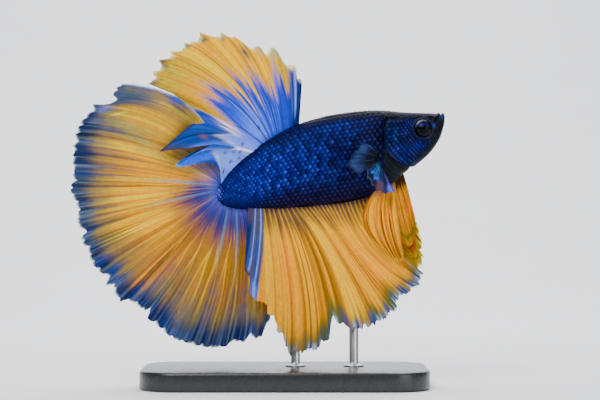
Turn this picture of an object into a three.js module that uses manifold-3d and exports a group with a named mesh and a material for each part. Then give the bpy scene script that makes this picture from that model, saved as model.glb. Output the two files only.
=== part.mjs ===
// A halfmoon betta (Siamese fighting fish), an adult male at life size, swimming with its fins spread,
// held over a plain display stand by two rods. It is a still model: nothing on it moves.
// Millimetres. +X points to the snout, +Y to the fish's left side and +Z up.
// The origin is the centre of the stand's underside.
import * as THREE from "three";
import { mergeVertices } from "three/addons/utils/BufferGeometryUtils.js";
import Module from "manifold-3d";

const wasm = await Module();
wasm.setup();

// Driving sizes
const GAP = 0.3; // between two pieces that meet
const FIN_THICK = 0.7; // of a fin at its root; it thins towards the margin
const MARGIN_SHARE = 0.75; // the margin's thickness as a share of the root's
const ROOT_SINK = 0.7; // how far a fin's root runs into the body before it is trimmed

const BODY_RINGS = 28;
const BODY_SIDES = 20;
const NECK_X = 20.5; // the head ends at the rear edge of the gill covers
const STEM_X = -6.5; // the trunk ends and the tail stem begins
const REACH = 60; // larger than the fish, for cutting tools

const EYE = { x: 28.8, z: 54.0, offset: 2.0, radius: 1.95, flatness: 0.72 };
const GILL_COVER_INNER = 2.3; // half the head's thickness left between the gill covers

const STAND = { length: 60, depth: 32, height: 4, corner: 8, bevel: 0.6 };
const ROD = { radius: 1, foot: 2.2, footHeight: 0.8, side: 2.6, frontX: 14.5, rearX: 2.2 };

// Smooth curves

const clamp = (t, low = 0, high = 1) => Math.min(high, Math.max(low, t));
const mix = (a, b, t) => a + (b - a) * t;

function smoothstep(from, to, t) {
  const s = clamp((t - from) / (to - from));
  return s * s * (3 - 2 * s);
}

// A smooth curve through rows of [t, a, b, ...]: gives [a, b, ...] at any t.
function through(rows) {
  const slope = (i, c) => {
    const before = rows[Math.max(i - 1, 0)];
    const after = rows[Math.min(i + 1, rows.length - 1)];
    return (after[c] - before[c]) / (after[0] - before[0]);
  };
  return (t) => {
    let i = 0;
    while (i < rows.length - 2 && t > rows[i + 1][0]) i += 1;
    const step = rows[i + 1][0] - rows[i][0];
    const s = clamp((t - rows[i][0]) / step);
    const ease = s * s * (3 - 2 * s);
    const leave = s * (1 - s) * (1 - s) * step;
    const arrive = s * s * (s - 1) * step;
    return rows[i]
      .slice(1)
      .map((a, c) => mix(a, rows[i + 1][c + 1], ease) + slope(i, c + 1) * leave + slope(i + 1, c + 1) * arrive);
  };
}

// The body: rings across a spine, from the snout (share 0) to the end of the tail stem (share 1).
// Each row is the share along the spine, x, the back's height, the belly's height and half the width.
const bodyAt = through([
  [0.0, 33.6, 56.7, 55.5, 0.5],
  [0.02, 33.3, 57.2, 54.3, 1.1],
  [0.06, 32.3, 57.35, 51.6, 1.8],
  [0.12, 30.3, 57.3, 48.8, 2.55],
  [0.2, 27.2, 57.4, 46.4, 3.35],
  [0.27, 24.4, 57.5, 44.0, 3.85],
  [0.33, 21.8, 57.7, 41.5, 4.15],
  [0.4, 18.0, 57.8, 39.9, 4.35],
  [0.5, 12.6, 57.3, 38.6, 4.3],
  [0.6, 7.4, 56.3, 38.0, 3.95],
  [0.7, 1.6, 54.4, 37.55, 3.4],
  [0.8, -3.6, 51.5, 37.2, 2.75],
  [0.88, -8.3, 48.2, 37.2, 2.1],
  [0.94, -11.6, 45.1, 37.6, 1.5],
  [0.98, -13.6, 42.5, 38.6, 1.0],
  [1.0, -14.3, 41.2, 39.6, 0.5],
]);

// The fish swims in a gentle curve, bowed towards its left side. It is modelled straight and bent last.
const swimY = (x) => -0.0015 * (x - 8) ** 2;

// How round a ring is above and below its middle: under 1 is boxy, over 1 is keeled.
const ringShape = through([
  [0.0, 0.9, 0.9],
  [0.2, 0.72, 0.95],
  [0.35, 0.85, 1.0],
  [0.6, 0.95, 1.15],
  [1.0, 1.0, 1.1],
]);

function bodyPoint(share, turn, grow = 0) {
  const [x, back, belly, half] = bodyAt(share);
  const [upper, lower] = ringShape(share);
  const middle = (back + belly) / 2;
  const rise = Math.cos(turn);
  const out = Math.sin(turn);
  const roundness = rise > 0 ? upper : lower;
  const height = (back - belly) / 2 + grow;
  const ends = clamp(1 - share / 0.04) - clamp((share - 0.96) / 0.04);
  const width = (half + grow) * Math.sign(out) * Math.abs(out) ** roundness;
  return [x + grow * ends, width, middle + height * rise];
}

// The share along the spine where the body is at x.
function shareAtX(x) {
  let low = 0;
  let high = 1;
  for (let i = 0; i < 30; i += 1) {
    const half = (low + high) / 2;
    if (bodyAt(half)[0] > x) low = half;
    else high = half;
  }
  return low;
}
const backAt = (x) => bodyAt(shareAtX(x))[1];
const bellyAt = (x) => bodyAt(shareAtX(x))[2];

// Solids

function solidOf(geometry) {
  geometry.deleteAttribute("normal");
  geometry.deleteAttribute("uv");
  const merged = mergeVertices(geometry, 1e-4);
  return new wasm.Manifold(
    new wasm.Mesh({
      numProp: 3,
      vertProperties: merged.attributes.position.array,
      triVerts: new Uint32Array(merged.index.array),
    }),
  );
}

function geometryOf(points, faces) {
  const geometry = new THREE.BufferGeometry();
  geometry.setAttribute("position", new THREE.Float32BufferAttribute(points.flat(), 3));
  geometry.setIndex(faces.flat());
  return geometry;
}

function bodySolid(grow = 0) {
  const points = [];
  const faces = [];
  for (let i = 0; i <= BODY_RINGS; i += 1) {
    const share = 0.5 - 0.5 * Math.cos((Math.PI * i) / BODY_RINGS);
    const even = i / BODY_RINGS;
    for (let k = 0; k < BODY_SIDES; k += 1) {
      points.push(bodyPoint(mix(even, share, 0.6), (2 * Math.PI * k) / BODY_SIDES, grow));
    }
  }
  const ring = (i, k) => i * BODY_SIDES + (k % BODY_SIDES);
  for (let i = 0; i < BODY_RINGS; i += 1) {
    for (let k = 0; k < BODY_SIDES; k += 1) {
      faces.push([ring(i, k), ring(i, k + 1), ring(i + 1, k)]);
      faces.push([ring(i, k + 1), ring(i + 1, k + 1), ring(i + 1, k)]);
    }
  }
  for (let k = 1; k < BODY_SIDES - 1; k += 1) {
    faces.push([ring(0, 0), ring(0, k + 1), ring(0, k)]);
    faces.push([ring(BODY_RINGS, 0), ring(BODY_RINGS, k), ring(BODY_RINGS, k + 1)]);
  }
  return solidOf(geometryOf(points, faces));
}

// A block between two x planes, as wide and high as needed.
function slab(fromX, toX) {
  const block = new THREE.BoxGeometry(toX - fromX, REACH, 3 * REACH);
  block.translate((fromX + toX) / 2, 0, REACH / 2);
  return solidOf(block);
}

// A prism with its outline in x and z, between two y planes.
function prism(shape, fromY, toY) {
  const block = new THREE.ExtrudeGeometry(shape, { depth: toY - fromY, bevelEnabled: false, curveSegments: 6 });
  block.rotateX(Math.PI / 2);
  block.translate(0, toY, 0);
  return solidOf(block);
}

// Points pushed away from their middle by grow, as a smooth or a straight-sided closed outline.
function outline(points, grow, smooth) {
  const middle = points.reduce((sum, [x, z]) => [sum[0] + x / points.length, sum[1] + z / points.length], [0, 0]);
  const pushed = points.map(([x, z]) => {
    const away = new THREE.Vector2(x - middle[0], z - middle[1]);
    return new THREE.Vector2(x, z).add(away.setLength(grow));
  });
  const shape = new THREE.Shape();
  shape.moveTo(pushed[0].x, pushed[0].y);
  if (smooth) shape.splineThru([...pushed.slice(1), pushed[0].clone()]);
  else pushed.slice(1).forEach((point) => shape.lineTo(point.x, point.y));
  shape.closePath();
  return shape;
}

// The right gill cover's outline, or the left one's when side is 1.
function gillCoverTool(side, grow) {
  const edge = [
    [25.4, 55.6],
    [22.2, 55.4],
    [20.9, 52.3],
    [21.4, 48.8],
    [24.0, 46.7],
    [27.0, 46.0],
    [27.9, 47.6],
    [26.0, 50.4],
  ];
  const inner = GILL_COVER_INNER - grow;
  const shape = outline(edge, grow, true);
  return side < 0 ? prism(shape, -REACH / 2, -inner) : prism(shape, inner, REACH / 2);
}

// The lower jaw lies below the mouth's slanting line, in front of the jaw joint.
const jawTool = (grow) =>
  prism(
    outline(
      [
        [36.4, 61.0],
        [31.9, 53.4],
        [30.8, 51.9],
        [29.6, 46.5],
        [36.4, 46.5],
      ],
      grow,
      false,
    ),
    -REACH / 2,
    REACH / 2,
  );

function eyeSolid(side, grow) {
  const ball = new THREE.SphereGeometry(EYE.radius + grow, 14, 8);
  ball.rotateX(Math.PI / 2);
  ball.scale(1, EYE.flatness, 1);
  ball.translate(EYE.x, side * EYE.offset, EYE.z);
  return solidOf(ball);
}

// Fins

// A fin is a thin sheet. u runs along its root from the first ray to the last, and v out along a ray.
// root(u) and margin(u) give x and z, reach(u) the share of the way to the margin that a ray runs,
// bow(u) how far it arches to one side, and side(u, v) gives y. Trimming by the body leaves a gap at the root.
function finSolid({ root, margin, reach = () => 1, bow = () => 0, side, columns, rows, thick = FIN_THICK }) {
  const pointAt = (u, v) => {
    const [rootX, rootZ] = root(u);
    const [tipX, tipZ] = margin(u);
    const along = v * reach(u);
    const [dx, dz] = [tipX - rootX, tipZ - rootZ];
    const arch = (4 * bow(u) * along * (1 - along)) / Math.hypot(dx, dz);
    return [rootX + dx * along - dz * arch, side(u, along), rootZ + dz * along + dx * arch];
  };
  const near = [];
  const far = [];
  for (let i = 0; i <= columns; i += 1) {
    for (let j = 0; j <= rows; j += 1) {
      const [x, y, z] = pointAt(i / columns, j / rows);
      const half = (thick / 2) * mix(1, MARGIN_SHARE, j / rows);
      near.push([x, y - half, z]);
      far.push([x, y + half, z]);
    }
  }
  const faces = [];
  const at = (i, j) => i * (rows + 1) + j;
  const back = near.length;
  for (let i = 0; i < columns; i += 1) {
    for (let j = 0; j < rows; j += 1) {
      const [a, b, c, d] = [at(i, j), at(i + 1, j), at(i + 1, j + 1), at(i, j + 1)];
      faces.push([a, b, c], [a, c, d]);
      faces.push([back + a, back + c, back + b], [back + a, back + d, back + c]);
    }
  }
  const rim = [];
  for (let i = 0; i < columns; i += 1) rim.push(at(i, 0));
  for (let j = 0; j < rows; j += 1) rim.push(at(columns, j));
  for (let i = columns; i > 0; i -= 1) rim.push(at(i, rows));
  for (let j = rows; j > 0; j -= 1) rim.push(at(0, j));
  rim.forEach((a, i) => {
    const b = rim[(i + 1) % rim.length];
    faces.push([a, back + a, back + b], [a, back + b, b]);
  });
  const turned = rim.reduce((sum, a, i) => {
    const [p, q] = [near[a], near[rim[(i + 1) % rim.length]]];
    return sum + p[0] * q[2] - p[2] * q[0];
  }, 0);
  if (turned < 0) faces.forEach((face) => face.reverse());
  return solidOf(geometryOf([...near, ...far], faces));
}

// Pointed teeth at the ray tips, cut back between them by depth, and deeper notches at [place, depth, width].
function raggedReach(teeth, depth, notches = []) {
  return (u) => {
    const between = depth * Math.abs(Math.sin(Math.PI * teeth * u)) ** 0.8;
    const cuts = notches.reduce((sum, [place, deep, wide]) => sum + deep * Math.exp(-(((u - place) / wide) ** 2)), 0);
    return 1 - between - cuts;
  };
}

// Folds between the rays, growing towards the margin.
const pleats = (count, height) => (u, v) => height * v * Math.cos(2 * Math.PI * count * u);

// The fin on the back. Its main fan leans to the left of the tail fin. A deep notch parts the fan from the
// last rays, which hang to the right of the tail fin as two spikes.
function backFin() {
  const fold = pleats(10, 0.35);
  const bow = through([
    [0.0, 0],
    [0.2, -0.8],
    [0.5, -1.9],
    [0.8, -3.2],
    [0.9, -4.2],
    [1.0, -3.6],
  ]);
  return finSolid({
    columns: 40,
    rows: 5,
    root: (u) => {
      const x = mix(2.9, -13.2, u);
      return [x, backAt(x) - ROOT_SINK];
    },
    margin: through([
      [0.0, 3.6, 64.8],
      [0.08, 2.1, 67.6],
      [0.18, -2.7, 71.4],
      [0.27, -6.3, 72.0],
      [0.37, -11.1, 74.1],
      [0.47, -17.6, 75.0],
      [0.56, -21.4, 72.4],
      [0.65, -26.7, 69.0],
      [0.725, -28.6, 64.9],
      [0.8, -28.9, 61.2],
      [0.85, -28.0, 56.6],
      [0.9, -26.2, 49.1],
      [0.95, -24.4, 47.4],
      [0.975, -22.5, 46.2],
      [1.0, -20.6, 45.2],
    ]),
    reach: raggedReach(10, 0.06, [
      [0.85, 0.64, 0.02],
      [0.95, 0.3, 0.014],
      [1.0, 0.4, 0.014],
    ]),
    bow: (u) => bow(u)[0],
    side: (u, v) => {
      const main = 2.4 * v * smoothstep(0.3, 0.65, u);
      const spikes = -0.6 - v * (3.6 - 1.3 * v);
      return mix(main, spikes, smoothstep(0.82, 0.88, u)) + fold(u, v);
    },
  });
}

// The tail fin. Its first ray arches back over the top and comes to the right of the back fin's fan, and its
// last rays pass to the left of the belly fin.
function tailFin() {
  const fold = pleats(12, 0.4);
  return finSolid({
    columns: 48,
    rows: 7,
    root: through([
      [0.0, -13.2, 42.4],
      [0.3, -13.6, 41.3],
      [0.5, -13.7, 40.1],
      [0.75, -12.8, 39.1],
      [1.0, -10.2, 38.1],
    ]),
    margin: through([
      [0.0, -34.2, 63.3],
      [0.05, -36.0, 60.8],
      [0.1, -40.1, 58.6],
      [0.17, -43.5, 53.6],
      [0.25, -44.4, 47.0],
      [0.33, -44.9, 41.2],
      [0.42, -43.1, 34.5],
      [0.51, -41.3, 27.8],
      [0.61, -36.1, 20.4],
      [0.72, -28.6, 14.4],
      [0.82, -20.0, 8.6],
      [0.9, -12.6, 7.9],
      [0.96, -6.2, 9.6],
      [1.0, -3.2, 13.6],
    ]),
    reach: raggedReach(24, 0.022, [[0.0625, 0.05, 0.012]]),
    bow: (u) => -6.2 * (1 - smoothstep(-0.05, 0.34, u)) + 0.8 * smoothstep(0.5, 0.9, u),
    side: (u, v) => {
      const top = mix(0.55, -1.3, smoothstep(0, 0.55, v)) * smoothstep(0.34, 0.08, u);
      const bottom = 0.45 * smoothstep(0.7, 0.9, u) + 2.6 * smoothstep(0.05, 0.6, v) * smoothstep(0.76, 0.94, u);
      const wave = 1.1 * v * v * Math.sin(2 * Math.PI * (1.7 * u + 0.15)) * smoothstep(0.12, 0.3, u);
      return top + bottom + wave * smoothstep(0.95, 0.75, u) + fold(u, v);
    },
  });
}

// The fin along the belly, longest at its middle.
function bellyFin() {
  const fold = pleats(11, 0.35);
  return finSolid({
    columns: 44,
    rows: 7,
    root: (u) => {
      const x = mix(17.4, -7.4, u);
      return [x, bellyAt(x) + ROOT_SINK];
    },
    margin: through([
      [0.0, 29.2, 24.6],
      [0.06, 28.4, 21.6],
      [0.14, 25.2, 18.0],
      [0.23, 21.5, 14.2],
      [0.33, 16.6, 12.0],
      [0.43, 12.4, 10.7],
      [0.51, 9.4, 9.8],
      [0.58, 6.8, 7.2],
      [0.67, 3.2, 6.5],
      [0.74, 0.9, 5.7],
      [0.81, -1.6, 10.0],
      [0.88, -3.7, 14.4],
      [0.94, -5.3, 17.6],
      [1.0, -7.9, 24.0],
    ]),
    reach: raggedReach(22, 0.035, [
      [0.48, 0.08, 0.02],
      [0.97, 0.1, 0.015],
    ]),
    bow: (u) => 0.9 * Math.sin(Math.PI * u),
    side: (u, v) => {
      const wave = 0.8 * v * Math.sin(2 * Math.PI * (1.3 * u + 0.15)) * smoothstep(1, 0.7, u);
      const rear = (-0.35 - 0.9 * v) * smoothstep(0.7, 0.9, u);
      return wave + rear + fold(u, v);
    },
  });
}

// A breast fin fans out behind the gill cover. side is -1 on the right and 1 on the left, and sweep turns
// the fan up and back about its root.
function breastFin(side, sweep) {
  const fold = pleats(8, 0.16);
  const hub = new THREE.Vector2(19.9, 47.3);
  const edge = through([
    [0.0, 15.1, 51.3],
    [0.13, 13.3, 49.7],
    [0.26, 12.7, 47.0],
    [0.39, 14.0, 44.6],
    [0.52, 15.7, 42.9],
    [0.65, 16.9, 41.3],
    [0.8, 18.9, 40.1],
    [1.0, 22.6, 40.4],
  ]);
  return finSolid({
    columns: 16,
    rows: 3,
    thick: 0.6,
    root: (u) => [mix(19.7, 20.0, u), mix(48.3, 46.3, u)],
    margin: (u) => new THREE.Vector2(...edge(u)).rotateAround(hub, -sweep).toArray(),
    reach: raggedReach(8, 0.03, [[0.5, 0.12, 0.06]]),
    side: (u, v) => side * (3.6 + 2.4 * v + 0.4 * v * v) + fold(u, v),
  });
}

// The belly fins hang below the throat, the right one bulging back and the left one narrow and further forward.
function rightPelvicFin() {
  const fold = pleats(5, 0.2);
  return finSolid({
    columns: 15,
    rows: 6,
    root: (u) => [mix(23.0, 19.8, u), mix(43.9, 42.0, u)],
    margin: through([
      [0.0, 24.8, 27.4],
      [0.3, 24.5, 26.0],
      [0.6, 23.1, 26.6],
      [1.0, 21.0, 28.8],
    ]),
    reach: raggedReach(5, 0.03),
    bow: (u) => mix(-0.2, -4.2, u),
    side: (u, v) => -1.2 - 2.4 * Math.sin(0.75 * Math.PI * v) * (0.55 + 0.45 * Math.sin(Math.PI * u)) + fold(u, v),
  });
}

function leftPelvicFin() {
  const fold = pleats(5, 0.25);
  return finSolid({
    columns: 15,
    rows: 6,
    root: (u) => [mix(25.0, 23.3, u), mix(45.6, 44.0, u)],
    margin: through([
      [0.0, 28.6, 30.7],
      [0.35, 28.8, 27.9],
      [0.7, 27.7, 25.6],
      [1.0, 25.2, 26.7],
    ]),
    reach: raggedReach(5, 0.05),
    bow: (u) => mix(0.6, -0.2, u),
    side: (u, v) => 1.1 + 1.9 * v + 0.5 * Math.sin(Math.PI * u) * v + fold(u, v),
  });
}

// The stand

function standBase() {
  const { length, depth, height, corner, bevel } = STAND;
  const [halfX, halfY] = [length / 2 - bevel, depth / 2 - bevel];
  const plate = new THREE.Shape();
  plate.moveTo(-halfX + corner, -halfY);
  plate.lineTo(halfX - corner, -halfY);
  plate.absarc(halfX - corner, -halfY + corner, corner, -Math.PI / 2, 0);
  plate.lineTo(halfX, halfY - corner);
  plate.absarc(halfX - corner, halfY - corner, corner, 0, Math.PI / 2);
  plate.lineTo(-halfX + corner, halfY);
  plate.absarc(-halfX + corner, halfY - corner, corner, Math.PI / 2, Math.PI);
  plate.lineTo(-halfX, -halfY + corner);
  plate.absarc(-halfX + corner, -halfY + corner, corner, Math.PI, 1.5 * Math.PI);
  const rounded = new THREE.ExtrudeGeometry(plate, {
    depth: height - 2 * bevel,
    bevelThickness: bevel,
    bevelSize: bevel,
    bevelSegments: 1,
    curveSegments: 6,
  });
  rounded.translate(0, 0, bevel);
  return solidOf(rounded);
}

// A rod with a flared foot on the base, running up to the underside of the trunk.
function standRod(x, body) {
  const top = bellyAt(x) + 6;
  const foot = STAND.height + GAP;
  const profile = [
    [0, foot],
    [ROD.foot, foot],
    [ROD.foot, foot + ROD.footHeight * 0.5],
    [ROD.radius, foot + ROD.footHeight],
    [ROD.radius, top],
    [0, top],
  ].map(([radius, height]) => new THREE.Vector2(radius, height));
  const rod = new THREE.LatheGeometry(profile, 12);
  rod.rotateX(Math.PI / 2);
  rod.translate(x, ROD.side, 0);
  const parts = solidOf(rod).subtract(body).decompose();
  return parts.sort((a, b) => a.boundingBox().min[2] - b.boundingBox().min[2])[0];
}

// Materials

const skin = { color: 0x101b6e, roughness: 0.4, metalness: 0.1 };
const LOOKS = {
  head: { color: 0x1b2352, roughness: 0.45, metalness: 0.05 },
  skin,
  gillCover: { color: 0x16298a, roughness: 0.35, metalness: 0.15 },
  eye: { color: 0x0b0d1c, roughness: 0.1, metalness: 0 },
  yellowFin: { color: 0xe8a51c, roughness: 0.5, metalness: 0 },
  paleFin: { color: 0x5f7fc0, roughness: 0.45, metalness: 0 },
  base: { color: 0x17181b, roughness: 0.35, metalness: 0 },
  rod: { color: 0xb9bcc0, roughness: 0.3, metalness: 1 },
};

// A named mesh of a solid, each point moved in y by shift(x).
function named(name, solid, look, shift) {
  const { vertProperties, triVerts, numProp, numVert } = solid.getMesh();
  const points = [];
  for (let i = 0; i < numVert; i += 1) {
    const [x, y, z] = vertProperties.subarray(i * numProp, i * numProp + 3);
    points.push([x, y + shift(x), z]);
  }
  const geometry = geometryOf(points, [Array.from(triVerts)]);
  geometry.computeVertexNormals();
  const mesh = new THREE.Mesh(geometry, new THREE.MeshStandardMaterial(LOOKS[look]));
  mesh.name = name;
  return mesh;
}

// The whole fish on its stand

const model = new THREE.Group();
const addFlesh = (name, solid, look) => model.add(named(name, solid, look, swimY));
const addRod = (name, x) => model.add(named(name, standRod(x, clearance), "rod", () => swimY(x)));

// The body is modelled whole and parted with thin cuts.
const whole = bodySolid();
const clearance = bodySolid(GAP);
const headBlock = whole.intersect(slab(NECK_X + GAP / 2, REACH));
const skull = [
  eyeSolid(-1, GAP),
  eyeSolid(1, GAP),
  gillCoverTool(-1, GAP),
  gillCoverTool(1, GAP),
  jawTool(GAP),
].reduce((rest, tool) => rest.subtract(tool), headBlock);
addFlesh("head", skull, "head");
addFlesh("lower_jaw", headBlock.intersect(jawTool(0)), "head");
addFlesh("gill_cover_right", headBlock.intersect(gillCoverTool(-1, 0)), "gillCover");
addFlesh("gill_cover_left", headBlock.intersect(gillCoverTool(1, 0)), "gillCover");
addFlesh("eye_right", eyeSolid(-1, 0), "eye");
addFlesh("eye_left", eyeSolid(1, 0), "eye");
addFlesh("trunk", whole.intersect(slab(STEM_X + GAP / 2, NECK_X - GAP / 2)), "skin");
addFlesh("tail_stem", whole.intersect(slab(-REACH, STEM_X - GAP / 2)), "skin");

// Each fin is trimmed by the body's surface plus the gap. The largest remaining piece is the fin.
const trimmed = (fin) =>
  fin
    .subtract(clearance)
    .decompose()
    .sort((a, b) => b.volume() - a.volume())[0];
addFlesh("dorsal_fin", trimmed(backFin()), "yellowFin");
addFlesh("caudal_fin", trimmed(tailFin()), "yellowFin");
addFlesh("anal_fin", trimmed(bellyFin()), "yellowFin");
addFlesh("pectoral_fin_right", trimmed(breastFin(-1, 0)), "paleFin");
addFlesh("pectoral_fin_left", trimmed(breastFin(1, 0.5)), "paleFin");
addFlesh("pelvic_fin_right", trimmed(rightPelvicFin()), "yellowFin");
addFlesh("pelvic_fin_left", trimmed(leftPelvicFin()), "yellowFin");

model.add(named("stand_base", standBase(), "base", () => 0));
addRod("stand_rod_front", ROD.frontX);
addRod("stand_rod_rear", ROD.rearX);

export default model;
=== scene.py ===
# %% [markdown]
# # A halfmoon betta on a display stand
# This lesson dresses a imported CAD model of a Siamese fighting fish. The solids already give the size and the
# outline. Here the flesh gets one smooth skin, a coat of scales, wet eyes and thin fins with forking rays.
# The frame comes first, because every piece is placed by the numbers that it holds.
# %% Load the frame
import math

import bpy
import numpy as np
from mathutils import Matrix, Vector


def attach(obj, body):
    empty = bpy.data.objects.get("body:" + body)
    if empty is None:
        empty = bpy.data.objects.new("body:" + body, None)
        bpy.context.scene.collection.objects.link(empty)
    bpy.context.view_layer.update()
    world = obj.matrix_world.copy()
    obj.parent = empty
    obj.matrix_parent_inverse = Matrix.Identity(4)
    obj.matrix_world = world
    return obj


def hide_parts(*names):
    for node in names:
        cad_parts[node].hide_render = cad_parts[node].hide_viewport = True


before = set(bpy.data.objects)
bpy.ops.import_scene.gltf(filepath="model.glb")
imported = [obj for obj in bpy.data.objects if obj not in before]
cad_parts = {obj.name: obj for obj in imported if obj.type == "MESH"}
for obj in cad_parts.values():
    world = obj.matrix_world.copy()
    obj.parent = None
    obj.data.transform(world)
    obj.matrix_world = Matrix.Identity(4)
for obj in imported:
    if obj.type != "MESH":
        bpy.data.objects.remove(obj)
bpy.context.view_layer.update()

# %% [markdown]
# ## Curves that shape everything
# A fish is long soft curves, so each shape is a smooth line through a few rows of numbers, the same rows that
# the solids were made from. Numpy evaluates them for thousands of points at once. Sizes are in millimetres
# here and turn into metres only when a mesh is made.
# %% Smooth curves
MM = 0.001


def mix(a, b, t):
    return a + (b - a) * t


def smoothstep(start, end, t):
    s = np.clip((t - start) / (end - start), 0, 1)
    return s * s * (3 - 2 * s)


def falls(start, end, t):
    """1 before the start and 0 after the end."""
    return 1 - smoothstep(start, end, t)


def bump(t, middle, width):
    """A soft hill, 1 at its middle."""
    return np.exp(-(((t - middle) / width) ** 2))


def through(rows):
    """A smooth curve through rows of (place, value, ...)."""
    table = np.array(rows, float)
    places, values = table[:, 0], table[:, 1:]
    index = np.arange(len(rows))
    before, after = np.maximum(index - 1, 0), np.minimum(index + 1, len(rows) - 1)
    slopes = (values[after] - values[before]) / (places[after] - places[before])[:, None]

    def at(t):
        t = np.asarray(t, float)
        i = np.clip(np.searchsorted(places, t) - 1, 0, len(rows) - 2)
        step = (places[i + 1] - places[i])[..., None]
        s = np.clip((t - places[i])[..., None] / step, 0, 1)
        ease = s * s * (3 - 2 * s)
        leave, arrive = s * (1 - s) ** 2 * step, s * s * (s - 1) * step
        value = mix(values[i], values[i + 1], ease) + slopes[i] * leave + slopes[i + 1] * arrive
        return np.moveaxis(value, -1, 0)

    return at


def wander(place, knots, seed):
    """Smooth random values from 0 to 1 along a line, the same on each run."""
    values = np.random.default_rng(seed).random(knots + 2)
    at = np.clip(place, 0, 1) * knots
    i = at.astype(int)
    return mix(values[i], values[i + 1], smoothstep(0, 1, at - i))


def sway(place, knots, seed):
    """The same, from -0.5 to 0.5."""
    return wander(place, knots, seed) - 0.5


# %% Colours
LAMPLIGHT = 1.45  # how much brighter than its own pigment a surface shows in this studio
GOLD_TRIM = np.array((0.04, 0.24, -2.0))  # what gold gains in red and green, and loses in blue


def colour(code):
    """The pigment, as linear values, that shows as this six-digit code in the studio's light."""
    values = np.array([int(code[i : i + 2], 16) / 255 for i in (0, 2, 4)])
    linear = np.where(values <= 0.04045, values / 12.92, ((values + 0.055) / 1.055) ** 2.4)
    gold = np.clip(1.5 * (min(linear[:2]) - linear[2]), 0, 0.5)  # strong light pales gold most of all
    linear = linear * (1 + gold * GOLD_TRIM)
    return np.clip(linear / (1 - 0.8 * linear**2) / LAMPLIGHT, 0.0005, 0.95)


def plain(places, code):
    """One colour for every place."""
    return np.zeros(np.shape(places) + (3,)) + colour(code)


def lay(base, code, mask):
    """Lays a colour over others where the mask is above 0."""
    return base + (colour(code) - base) * np.clip(mask, 0, 1)[..., None]


def blot(x, z, middle_x, middle_z, long, wide, turn=0.0):
    """A soft oval patch in side view, 1 at its middle; turn is in degrees."""
    a = math.radians(turn)
    dx, dz = x - middle_x, z - middle_z
    along, across = dx * math.cos(a) + dz * math.sin(a), dz * math.cos(a) - dx * math.sin(a)
    return np.exp(-((along / long) ** 2) - (across / wide) ** 2)


def lay_spots(base, x, z, rows, mask=1):
    """Lays soft ovals, each a row of colour, strength, x, z, half length, half width and turn."""
    for code, strength, *oval in rows:
        base = lay(base, code, blot(x, z, *oval) * strength * mask)
    return base


# %% Meshes from arrays
def grid_faces(rings, sides, closed):
    """Quads of a grid, as rows of four point numbers; closed joins the last side to the first."""
    count = sides if closed else sides - 1
    i, k = np.meshgrid(np.arange(rings - 1), np.arange(count), indexing="ij")
    near, far = i * sides + k, i * sides + (k + 1) % sides
    return np.stack([near, far, far + sides, near + sides], -1).reshape(-1, 4)


def pointed_tube(rings, sides):
    """Faces of a tube that ends in a fan at each end; the fans' two middle points follow the rings' own."""
    faces = grid_faces(rings, sides, True).tolist()
    first_end, last_ring = rings * sides, (rings - 1) * sides
    for k in range(sides):
        after = (k + 1) % sides
        faces += [(first_end, after, k), (first_end + 1, last_ring + k, last_ring + after)]
    return faces


def flat_tube(rings, sides):
    """Faces of a tube that ends in one flat face at each end."""
    last_ring = (rings - 1) * sides
    ends = [list(range(sides))[::-1], list(range(last_ring, last_ring + sides))]
    return grid_faces(rings, sides, True).tolist() + ends


def point_places(mesh):
    places = np.empty(len(mesh.vertices) * 3)
    mesh.vertices.foreach_get("co", places)
    return places


def corner_points(mesh):
    """The point number of each face corner."""
    numbers = np.empty(len(mesh.loops), int)
    mesh.loops.foreach_get("vertex_index", numbers)
    return numbers


def face_outwards(mesh):
    """Turns a closed mesh round if it encloses less than nothing."""
    mesh.calc_loop_triangles()
    corners = np.empty(len(mesh.loop_triangles) * 3, int)
    mesh.loop_triangles.foreach_get("vertices", corners)
    a, b, c = np.moveaxis(point_places(mesh).reshape(-1, 3)[corners].reshape(-1, 3, 3), 1, 0)
    if np.einsum("ij,ij->i", a, np.cross(b, c)).sum() < 0:
        mesh.flip_normals()


def set_tint(mesh, tint):
    rgba = np.concatenate([tint, np.ones((len(tint), 1))], 1)
    mesh.attributes.new("tint", "FLOAT_COLOR", "POINT").data.foreach_set("color", rgba.ravel())


def place_in_scene(name, data):
    thing = bpy.data.objects.new(name, data)
    bpy.context.scene.collection.objects.link(thing)
    return thing


def new_piece(name, points, faces, tint=None, uv=None):
    """A smooth closed mesh from points in millimetres, with a colour and a (u, v) for each point."""
    mesh = bpy.data.meshes.new(name)
    mesh.from_pydata((np.asarray(points) * MM).tolist(), [], [list(map(int, f)) for f in faces])
    mesh.shade_smooth()
    face_outwards(mesh)
    if tint is not None:
        set_tint(mesh, tint)
    if uv is not None:
        mesh.uv_layers.new(name="shape").data.foreach_set("uv", np.asarray(uv)[corner_points(mesh)].ravel())
    return place_in_scene(name, mesh)


def dress(piece, material, slot, *nodes):
    """Gives a piece its material, hangs it under the root body and hides the solids that it stands for."""
    piece.data.materials.clear()
    piece.data.materials.append(material)
    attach(piece, "root")
    if nodes:
        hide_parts(*nodes)
    print(piece.name, "has", sum(len(p.vertices) - 2 for p in piece.data.polygons), "triangles")


# %% [markdown]
# ## Camera, floor and light
# The fish is seen square from its right side by a long lens, so that its fins keep their true outline. The
# floor sweeps up behind it as one sheet of paper does in a studio, so there is no horizon. Large soft lamps
# from above and both sides let the thin fins glow and put small glints on the wet scales.
# %% Camera
VIEW = {"x": 3.15, "z": 39.06, "distance": 450.0, "width": 126.0, "sensor": 36.0}

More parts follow.
